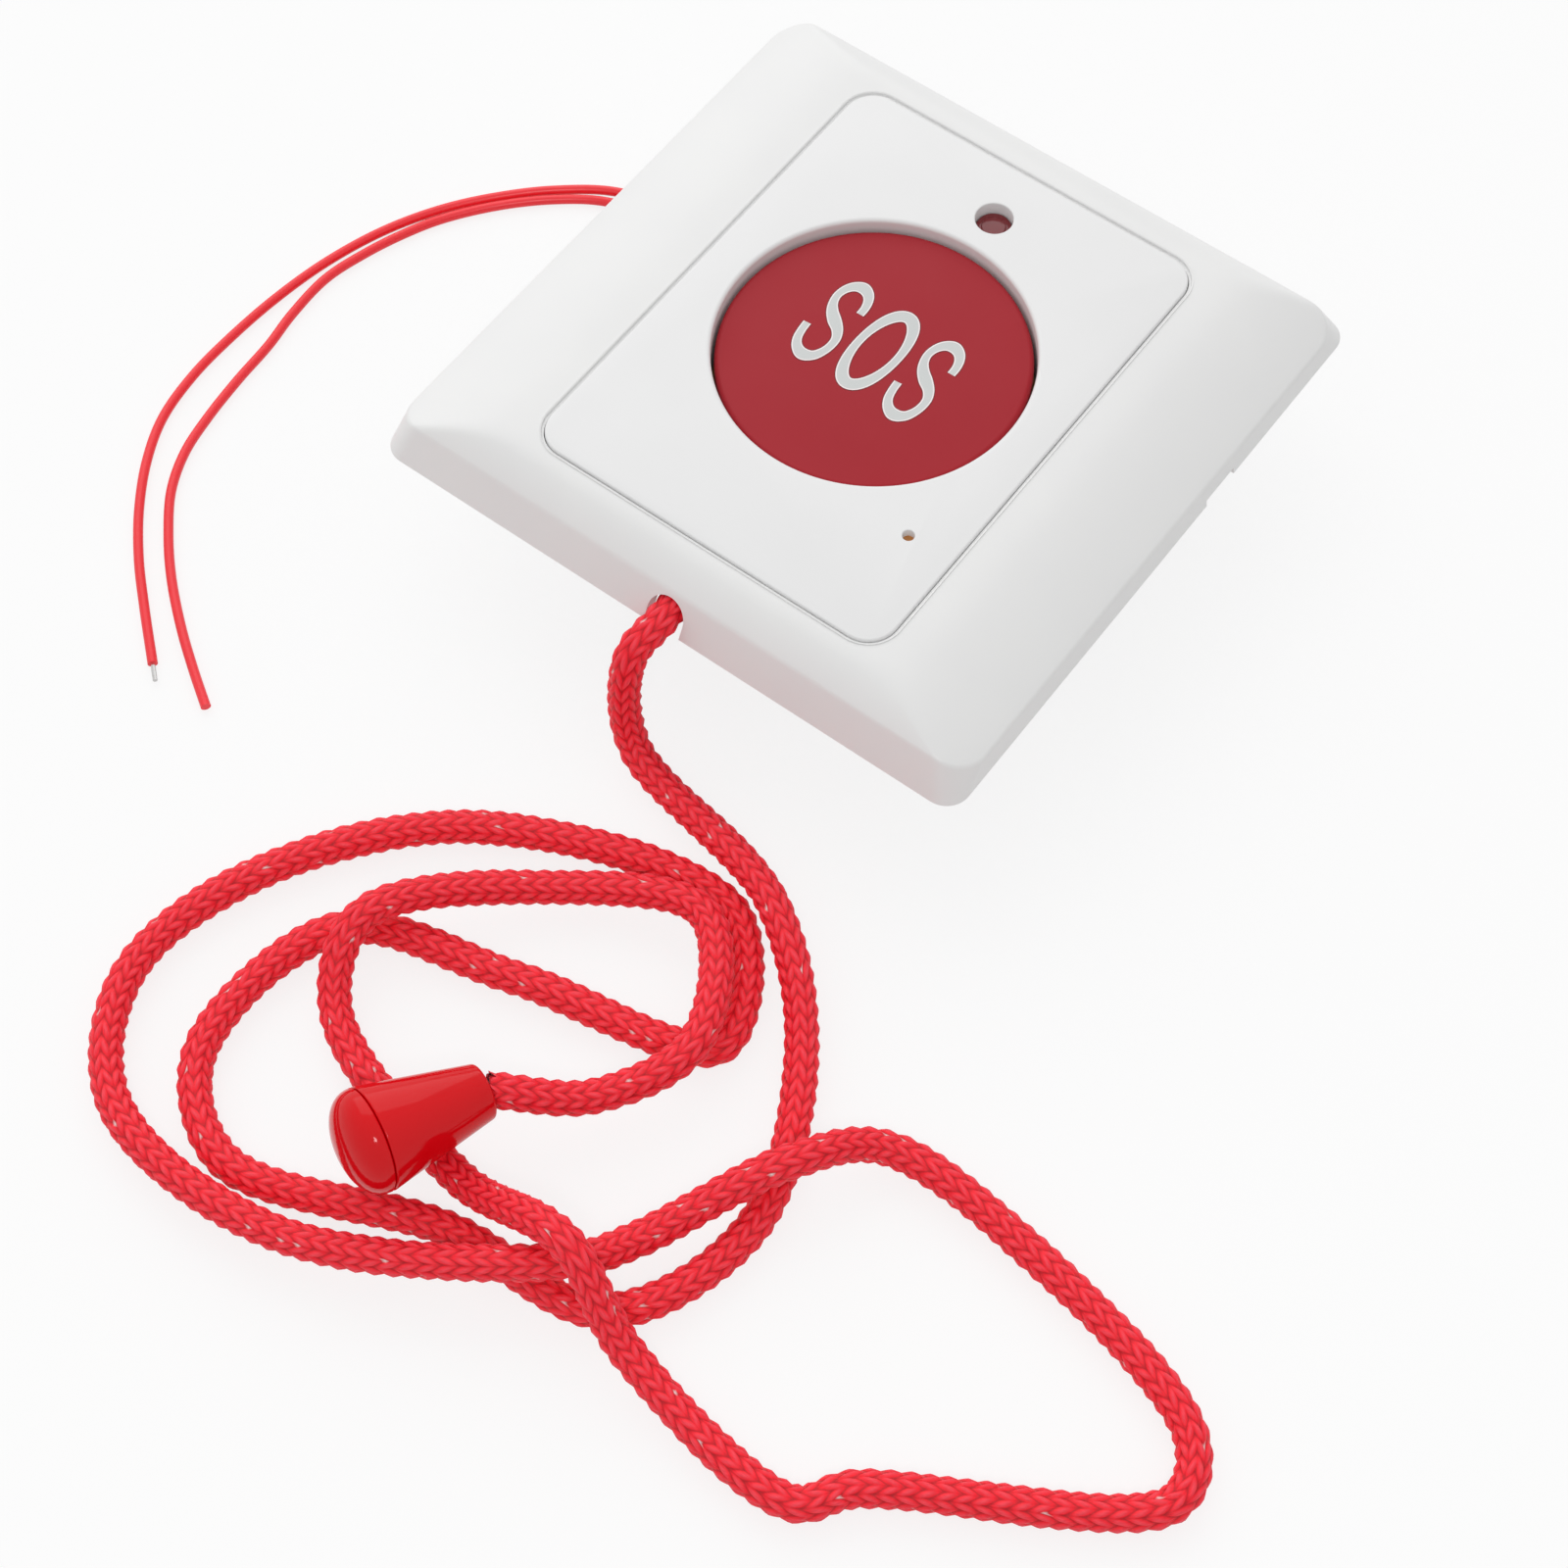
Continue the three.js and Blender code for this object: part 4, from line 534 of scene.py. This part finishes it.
def knob_pieces():
    """The cone with its cord hole, and the domed cap that closes it with a fine seam."""
    hole = CORD_DIAMETER / 2 + 0.06
    shoulder = KNOB_LENGTH - 0.06
    cone = spun([(hole, KNOB_WALL), (hole, 0.2), (hole + 0.2, 0.0)]
                + arc(KNOB_SMALL_R - 0.5, 0.5, 0.5, -90, -8, 6)
                + arc(KNOB_LARGE_R - 0.2, shoulder - 0.2, 0.2, 0, 90, 3)
                + [(KNOB_LARGE_R - KNOB_WALL, shoulder), (KNOB_SMALL_R - KNOB_WALL / 2, KNOB_WALL),
                   (hole, KNOB_WALL)], 96)
    seam = KNOB_LENGTH + 0.06
    dome = [(KNOB_LARGE_R * math.cos(a) ** 0.9, seam + 0.15 + (KNOB_DOME_HEIGHT - 0.1) * math.sin(a) ** 0.9)
            for a in np.linspace(0, math.pi / 2, 25)]
    dome[-1] = (0.0, dome[-1][1])
    spigot = KNOB_LARGE_R - KNOB_WALL - 0.6
    cap = spun([(0, KNOB_LENGTH - 2), (spigot, KNOB_LENGTH - 2), (spigot, seam), (KNOB_LARGE_R - 0.15, seam)]
               + dome, 96)
    body = add_piece("knob_cone_gloss", lay_on_knob_axis(cone), "cord", "red_knob", "knob")
    lid = add_piece("knob_cap_gloss", lay_on_knob_axis(cap), "cord", "red_knob", "knob")
    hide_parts("knob_body")
    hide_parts("knob_cap")
    return [body, lid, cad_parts["knob_knot"]]


knob_pieces()

# ---------------------------------------------------------------- wall plate frame

HALF_PLATE = 43.0
CORNER_R = 3.2
RIM_CORNER_R = 4.4
PANEL_WIDTH = 51.1
PANEL_HEIGHT = 68.4
PANEL_CORNER_R = 4.0
GROOVE = 0.4
GROOVE_DEPTH = 0.42
GROOVE_LEDGE = 0.28
STRAIGHT_STEPS = 44
CORNER_STEPS = 12


def slope_section(rise, draft, flat):
    """Height over distance from the middle: the flat face, then a slope that eases down to the rim."""
    rim_d, drop = HALF_PLATE - draft, FACE_Z - WALL_Z - rise
    return lambda d: FACE_Z - drop * max((d - flat) / (rim_d - flat), 0) ** 2


SIDE_DRAFT = 0.5
END_DRAFT = 2.5
SIDE_SECTION = slope_section(3.4, SIDE_DRAFT, 25.6)
END_SECTION = slope_section(4.9, END_DRAFT, 34.4)
CREASE_BLEND = 0.5
RIM_SOFTNESS = 0.45


def plate_height(x, y):
    """The plate's outer surface: the lower of the two sections, with a soft crease between them."""
    a, b = SIDE_SECTION(abs(x)), END_SECTION(abs(y))
    share = max(CREASE_BLEND - abs(a - b), 0) / CREASE_BLEND
    return min(a, b) - share * share * CREASE_BLEND / 4


def ring_points(half_x, half_y, corner):
    """Points around a rectangle with round corners, always as many and in the same order."""
    points = []
    centres = [(1, -1, -90), (1, 1, 0), (-1, 1, 90), (-1, -1, 180)]
    for sx, sy, start in centres:
        cx, cy = sx * (half_x - corner), sy * (half_y - corner)
        for k in range(CORNER_STEPS + 1):
            a = math.radians(start + 90 * k / CORNER_STEPS)
            points.append((cx + corner * math.cos(a), cy + corner * math.sin(a)))
        following = centres[(centres.index((sx, sy, start)) + 1) % 4]
        fx, fy = following[0] * (half_x - corner), following[1] * (half_y - corner)
        a = math.radians(start + 90)
        end = (cx + corner * math.cos(a), cy + corner * math.sin(a))
        target = (fx + corner * math.cos(a), fy + corner * math.sin(a))
        for k in range(1, STRAIGHT_STEPS):
            w = k / STRAIGHT_STEPS
            points.append((end[0] + (target[0] - end[0]) * w, end[1] + (target[1] - end[1]) * w))
    return points


def frame_form():
    """The frame as rings: up the drafted rim, over its soft edge, up the slope to the window and back inside."""
    window_x, window_y = PANEL_WIDTH / 2 + GROOVE, PANEL_HEIGHT / 2 + GROOVE
    window_r = PANEL_CORNER_R + GROOVE
    rim = ring_points(HALF_PLATE - SIDE_DRAFT, HALF_PLATE - END_DRAFT, RIM_CORNER_R)
    rim = np.array([(x, y, plate_height(x, y)) for x, y in rim])
    foot = np.array([(x, y, WALL_Z) for x, y in ring_points(HALF_PLATE, HALF_PLATE, CORNER_R)])

    def slope_ring(share):
        half_x = HALF_PLATE - SIDE_DRAFT + (window_x - HALF_PLATE + SIDE_DRAFT) * share
        half_y = HALF_PLATE - END_DRAFT + (window_y - HALF_PLATE + END_DRAFT) * share
        corner = RIM_CORNER_R + (window_r - RIM_CORNER_R) * share
        return np.array([(x, y, plate_height(x, y)) for x, y in ring_points(half_x, half_y, corner)])

    inward = slope_ring(0.06) - rim
    above = rim + inward / np.linalg.norm(inward, axis=1)[:, None] * RIM_SOFTNESS
    down = foot - rim
    below = rim + down / np.linalg.norm(down, axis=1)[:, None] * RIM_SOFTNESS
    rings = [foot, foot * 0.5 + below * 0.5]
    for t in np.linspace(0, 1, 6):
        rings.append((1 - t) ** 2 * below + 2 * t * (1 - t) * rim + t ** 2 * above)
    rings += [slope_ring(share) for share in np.concatenate([np.arange(0.07, 0.98, 0.025), [0.99]])]
    rings = [ring.tolist() for ring in rings]
    edge = 0.22
    for inset, z in ((edge, FACE_Z), (edge * 0.3, FACE_Z - edge * 0.3), (0.0, FACE_Z - edge),
                     (0.0, FACE_Z - GROOVE_DEPTH), (-GROOVE_LEDGE, FACE_Z - GROOVE_DEPTH - 0.04),
                     (-GROOVE_LEDGE, 21.04), (1.4, 21.0), (1.4, 22.9)):
        rings.append([(x, y, z) for x, y in ring_points(window_x + inset, window_y + inset, window_r + inset)])
    for half_x, half_y, corner in ((33, 37.2, 4), (38, 38, 4), (40, 38.8, 4)):
        rings.append([(x, y, plate_height(x, y) - 2.0) for x, y in ring_points(half_x, half_y, corner)])
    rings.append([(x, y, WALL_Z) for x, y in ring_points(41, 41, 3.5)])
    form = bmesh.new()
    count = len(rings[0])
    loops = []
    for ring in rings:
        verts = [form.verts.new(p) for p in ring]
        loops.append([form.edges.new((verts[i], verts[(i + 1) % count])) for i in range(count)])
    for lower, upper in zip(loops, loops[1:] + loops[:1]):
        bmesh.ops.bridge_loops(form, edges=lower + upper)
    bmesh.ops.recalc_face_normals(form, faces=form.faces)
    return form


def cord_arch(y0, y1):
    """The cord's way out: an arch open towards the wall."""
    form = spun([(0, y0), (2.6, y0), (2.6, y1), (0, y1)], 64)
    bmesh.ops.rotate(form, cent=(0, 0, 0), matrix=Matrix.Rotation(-math.pi / 2, 3, "X"), verts=form.verts)
    bmesh.ops.translate(form, verts=form.verts, vec=(0.7, 0, 19.6))
    leg = slab(5.2, y1 - y0, 0, WALL_Z - 1, 19.6, centre=(0.7, (y0 + y1) / 2))
    return [form, leg]


frame_piece = add_piece("front_frame_shell", frame_form(), "plate", "ivory_plastic", "frame")
for cutter in cord_arch(-45, -33) + [slab(4, 6, 0, 17, 19, centre=(43, 13.2))]:
    boolean(frame_piece, cutter, "DIFFERENCE")
finish_edges(frame_piece)
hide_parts("front_frame")

# ---------------------------------------------------------------- panel, button, lamp

PINHOLE = (19.2, -18.9)
LAMP = (0.1, 26.1)
LAMP_HOLE_R = 2.42
WELL_R = 20.0
WELL_LIP_R = 0.5


def panel_cuts():
    """Holes of the panel: the button's well with a round lip, the lamp hole and the pinhole."""
    well = spun([(0, 17), (WELL_R, 17)] + arc(WELL_R + WELL_LIP_R, FACE_Z - WELL_LIP_R, WELL_LIP_R, 180, 90, 6)
                + [(WELL_R + WELL_LIP_R, 27), (0, 27)], 160, (0, BUTTON_CENTRE_Y, 0))
    lamp_lip = 0.15
    lamp = spun([(0, 20), (LAMP_HOLE_R, 20)] + arc(LAMP_HOLE_R + lamp_lip, FACE_Z - lamp_lip, lamp_lip, 180, 90, 3)
                + [(LAMP_HOLE_R + lamp_lip, 27), (0, 27)], 64, LAMP + (0,))
    pin_lip = 0.12
    pin = spun([(0, 22.5), (0.75, 22.5)] + arc(0.75 + pin_lip, FACE_Z - pin_lip, pin_lip, 180, 90, 3)
               + [(0.75 + pin_lip, 27), (0, 27)], 40, PINHOLE + (0,))
    return [well, lamp, pin]


def add_panel():
    """The panel's raised face over its flange; the flange keeps the slots for the wall screws."""
    piece = add_piece("panel_face", slab(PANEL_WIDTH, PANEL_HEIGHT, PANEL_CORNER_R, 20.1, FACE_Z, segments=16,
                                         top_round=0.25), "plate", "panel_plastic", "panel")
    boolean(piece, slab(76, 76, 3.5, WALL_Z, 20.2, segments=8), "UNION")
    boolean(piece, slab(47.1, 64.4, 2, 20.2, 23.4, segments=6), "DIFFERENCE")
    boolean(piece, slab(47.1, 55.6, 2, 17, 21, centre=(0, 0.8), segments=6), "DIFFERENCE")
    boolean(piece, spun([(0, 18.6), (21.5, 18.6), (21.5, 23.5), (0, 23.5)], 160,
                        (0, BUTTON_CENTRE_Y, 0)), "UNION")
    boolean(piece, spun([(0, 21.4), (3.45, 21.4), (3.45, 23.5), (0, 23.5)], 48, LAMP + (0,)), "UNION")
    slots = [slab(4.6, 8, 2.29, 17, 21, centre=(side * 30.15, 0), segments=10) for side in (-1, 1)]
    channel = [slab(8.8, 13.2, 0, 17, 20.3, centre=(0.7, -32.4))]
    for cutter in panel_cuts() + slots + channel + cord_arch(-36, -31):
        boolean(piece, cutter, "DIFFERENCE")
    finish_edges(piece)
    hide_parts("mounting_panel")


def add_button():
    """The button: a flat disc with a soft edge, on four snap legs."""
    underside = BUTTON_TOP_Z - 2.3
    profile = ([(0, underside), (BUTTON_R - 0.15, underside), (BUTTON_R, underside + 0.15)]
               + arc(BUTTON_R - 0.7, BUTTON_TOP_Z - 0.7, 0.7, 0, 90, 8) + [(0, BUTTON_TOP_Z)])
    forms = [spun(profile, 160, (0, BUTTON_CENTRE_Y, 0))]
    offset = 15.5 / math.sqrt(2)
    for sx in (-1, 1):
        for sy in (-1, 1):
            centre = (sx * offset, BUTTON_CENTRE_Y + sy * offset)
            forms.append(slab(1.6, 3, 0.2, 14.95, underside, centre=centre, segments=3))
            forms.append(slab(0.7, 3, 0.2, 14.95, 16.0, centre=(centre[0] + sx * 1.15, centre[1]), segments=3))
    piece = add_piece("button_cap", merged(forms), "button", "red_button", "button")
    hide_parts("push_button")


def add_lamp():
    """The lamp's tinted lens, and the amber component seen through the pinhole."""
    top = FACE_Z - 1.7
    lens = spun([(0, 18), (2.7, 18), (2.7, 18.8), (2.34, 18.8)] + arc(2.04, top - 0.3, 0.3, 0, 90, 5)
                + [(1.6, top), (1.45, top + 0.12), (0.7, top + 0.2), (0, top + 0.22)], 64, LAMP + (0,))
    piece = add_piece("lamp_lens", lens, "plate", "red_lens", "lens")
    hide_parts("indicator_lamp")
    bead = spun([(0, 23.4), (1.5, 23.4), (1.5, 24.1), (0, 24.3)], 32, PINHOLE + (0,))
    add_piece("pinhole_bead", bead, "plate", "resistor_lacquer", "amber")


add_panel()
add_button()
add_lamp()

# ---------------------------------------------------------------- lettering on the button

# Centreline and width of the distress letter S, and the ring of the letter O, in millimetres
LETTER_S = [
    (9.17, 4.05, 1.05), (9.12, 5.2, 1.1), (8.75, 6.4, 1.25), (8.1, 7.2, 1.5), (7.15, 7.58, 1.75),
    (6.2, 7.2, 1.45), (5.5, 6.3, 1.2), (5.17, 4.95, 1.05), (5.4, 3.7, 1.15), (6.1, 2.5, 1.5),
    (7.2, 1.45, 1.75), (8.3, 0.5, 1.45), (8.95, -0.6, 1.2), (9.1, -1.8, 1.1), (8.85, -3.2, 1.15),
    (8.2, -4.4, 1.4), (7.05, -4.98, 1.8), (5.9, -4.5, 1.4), (5.15, -3.5, 1.15), (4.8, -2.2, 1.05),
    (4.65, -0.75, 1.05),
]
LETTER_SHIFT = (-14.3, 0.75)
PRINT_HEIGHT = 0.03
# Widths of the painted highlight along each stroke's edge and of the painted shade outside it
EDGE_HIGHLIGHT_LINE = 0.16
SHADE_LINE = 0.1


def ribbon(centre, width, closed):
    """A printed stroke along a centreline, with a pale line of painted highlight along each edge and a dark line
    of painted shade outside it.
    """
    along = np.gradient(centre, axis=0)
    if closed:
        along = np.roll(centre, -1, axis=0) - np.roll(centre, 1, axis=0)
    along /= np.linalg.norm(along, axis=1)[:, None]
    across = np.stack([-along[:, 1], along[:, 0]], axis=1)
    half = width / 2
    lanes = [-half - SHADE_LINE, -half, -half + EDGE_HIGHLIGHT_LINE, half - EDGE_HIGHLIGHT_LINE, half, half + SHADE_LINE]
    form = bmesh.new()
    top = BUTTON_TOP_Z + PRINT_HEIGHT
    grid = [[form.verts.new((*(centre[i] + across[i] * lane[i]), top)) for lane in lanes]
            for i in range(len(centre))]
    following = grid[1:] + (grid[:1] if closed else [])
    for here, there in zip(grid, following):
        for lane in range(len(lanes) - 1):
            face = form.faces.new((here[lane], here[lane + 1], there[lane + 1], there[lane]))
            # Lanes: painted shade, painted highlight, grey print, painted highlight, painted shade
            face.material_index = (2, 1, 0, 1, 2)[lane]
    sunk = bmesh.ops.extrude_face_region(form, geom=form.faces[:])["geom"]
    lowered = [v for v in sunk if isinstance(v, bmesh.types.BMVert)]
    bmesh.ops.translate(form, verts=lowered, vec=(0, 0, -PRINT_HEIGHT * 0.8))
    return form


def add_lettering():
    """The three letters, as a thin print on the button's top."""
    fine, _ = smooth_route(LETTER_S, 0.15)
    strokes = [ribbon(fine[:, :2], fine[:, 2], False),
               ribbon(fine[:, :2] + np.array(LETTER_SHIFT), fine[:, 2], False)]
    angle = np.linspace(0, math.tau, 120, endpoint=False)
    outer = np.stack([3.25 * np.cos(angle), 7.1 * np.sin(angle)], axis=1)
    inner = np.stack([2.15 * np.cos(angle), 5.35 * np.sin(angle)], axis=1)
    lean = math.radians(-1.8)
    turn = np.array([[math.cos(lean), math.sin(lean)], [-math.sin(lean), math.cos(lean)]])
    ring = (outer + inner) / 2 @ turn + np.array((-0.15, 1.7))
    strokes.append(ribbon(ring, np.linalg.norm(outer - inner, axis=1), True))
    # The print's edge lines carry a painted highlight and painted shade
    add_piece("button_print", merged(strokes), "button", "white_plastic",
              "print_grey", "print_painted_highlight", "print_painted_shade")


add_lettering()

# ---------------------------------------------------------------- springs


def coil_route(radius, turns, x, y, z0, z1):
    """A helix, as points."""
    share = np.linspace(0, 1, int(turns * 16) + 1)
    return [(x + radius * math.cos(s * turns * math.tau), y + radius * math.sin(s * turns * math.tau),
             z0 + (z1 - z0) * s) for s in share]


for spring_name, node_name, spring_route, wire_r, joint, anchor_z, keep in (
    ("button_coil", "button_spring", coil_route(7.5, 2.5, 0, 0.7, 18.4, 21.2), 0.4, "button_press", 18.0, 0.66),
    ("lever_coil", "lever_spring", coil_route(1.9, 5, 0.7, -10, 9.9, 15.9), 0.3, "cord_pull", 16.2, 0.56),
):
    spring, _, _ = tube(spring_name, spring_route, "plate", "steel", 10, 0.5, plain_surface(wire_r),
                        smooth_angle=60.0)
    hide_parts(node_name)
    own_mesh(spring)

# ---------------------------------------------------------------- CAD nodes that stay

NODE_FINISH = {
    "rear_cover": "housing", "press_switch_body": "black", "press_switch_plunger": "white",
    "circuit_board": "board", "terminal_block": "green", "pull_lever": "white", "pivot_pin": "steel",
    "pull_switch_body": "black", "pull_switch_plunger": "button", "cord_clamp": "steel",
    "knob_knot": "knit", "wire_grommet": "rubber", "wire_strand": "copper",
    "resistor_1": "lacquer", "resistor_2": "lacquer", "terminal_screw_1": "steel", "terminal_screw_2": "steel",
}
for screw in range(1, 5):
    NODE_FINISH[f"cover_screw_{screw}"] = "steel"
    NODE_FINISH[f"board_screw_{screw}"] = "steel"
for node_name, finish in NODE_FINISH.items():
    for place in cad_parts[node_name].material_slots:
        place.material = MATERIALS[finish]

# ---------------------------------------------------------------- floor, light, world


def add_floor():
    """A white table that keeps a faint contact shadow."""
    form = bmesh.new()
    bmesh.ops.create_grid(form, x_segments=1, y_segments=1, size=3000)
    floor = add_piece("table", form, None, None, rides=False)
    made, tree, shader = new_material("white_table", Roughness=0.9, Specular_IOR_Level=0.0)
    shader.inputs["Base Color"].default_value = srgb("#f4f4f4")
    rays = add_node(tree, "ShaderNodeLightPath")
    seen = add_node(tree, "ShaderNodeMath", {0: rays.outputs["Is Camera Ray"], 1: rays.outputs["Is Glossy Ray"]},
                    operation="MAXIMUM")
    seen = add_node(tree, "ShaderNodeMath", {0: seen.outputs[0], 1: rays.outputs["Is Transmission Ray"]},
                    operation="MAXIMUM")
    share = add_node(tree, "ShaderNodeMath", {0: seen.outputs[0], 1: 0.8}, operation="MULTIPLY")
    glow = add_node(tree, "ShaderNodeEmission", {"Color": (1, 1, 1, 1), "Strength": 1.0})
    mixed = add_node(tree, "ShaderNodeMixShader", {0: share.outputs[0], 1: shader.outputs[0], 2: glow.outputs[0]})
    tree.links.new(mixed.outputs[0], tree.nodes["Material Output"].inputs["Surface"])
    floor.data.materials.append(made)


def add_soft_light(name, spot, size, power, target=(10, -30, 10)):
    """A large soft box that faces the object."""
    data = bpy.data.lights.new(name, "AREA")
    data.shape = "RECTANGLE"
    data.size, data.size_y = size
    data.energy = power
    made = bpy.data.objects.new(name, data)
    bpy.context.collection.objects.link(made)
    made.location = Vector(spot) * MM
    made.rotation_euler = (Vector(target) - Vector(spot)).to_track_quat("-Z", "Y").to_euler()


ROOM_DARK = 0.3
ROOM_BRIGHT = 0.86


def add_world():
    """A pale room that is brighter on the left and behind; white where the camera sees it."""
    world = bpy.data.worlds.new("room")
    bpy.context.scene.world = world
    world.use_nodes = True
    tree = world.node_tree
    rays = add_node(tree, "ShaderNodeLightPath")
    seen = add_node(tree, "ShaderNodeMath", {0: rays.outputs["Is Camera Ray"], 1: rays.outputs["Is Glossy Ray"]},
                    operation="MAXIMUM")
    seen = add_node(tree, "ShaderNodeMath", {0: seen.outputs[0], 1: rays.outputs["Is Transmission Ray"]},
                    operation="MAXIMUM")
    place = add_node(tree, "ShaderNodeTexCoord").outputs["Generated"]
    side = add_node(tree, "ShaderNodeVectorMath", {0: place, 1: (-0.72, 0.5, 0.48)}, operation="DOT_PRODUCT")
    room = add_node(tree, "ShaderNodeMapRange", {"Value": side.outputs["Value"], "From Min": -1.0, "From Max": 1.0,
                                                 "To Min": ROOM_DARK, "To Max": ROOM_BRIGHT})
    level = add_node(tree, "ShaderNodeMix", {"Factor": seen.outputs[0]}, data_type="FLOAT")
    tree.links.new(room.outputs["Result"], level.inputs[2])
    level.inputs[3].default_value = 1.0
    tree.links.new(level.outputs[0], tree.nodes["Background"].inputs["Strength"])
    tree.nodes["Background"].inputs["Color"].default_value = (1, 1, 1, 1)


add_floor()
add_world()
add_soft_light("soft_box_back", (-520, 420, 560), (0.9, 0.9), 2.6)
add_soft_light("soft_box_front", (230, -330, 560), (0.1, 0.1), 0.7)
bpy.context.scene.view_settings.view_transform = "Standard"
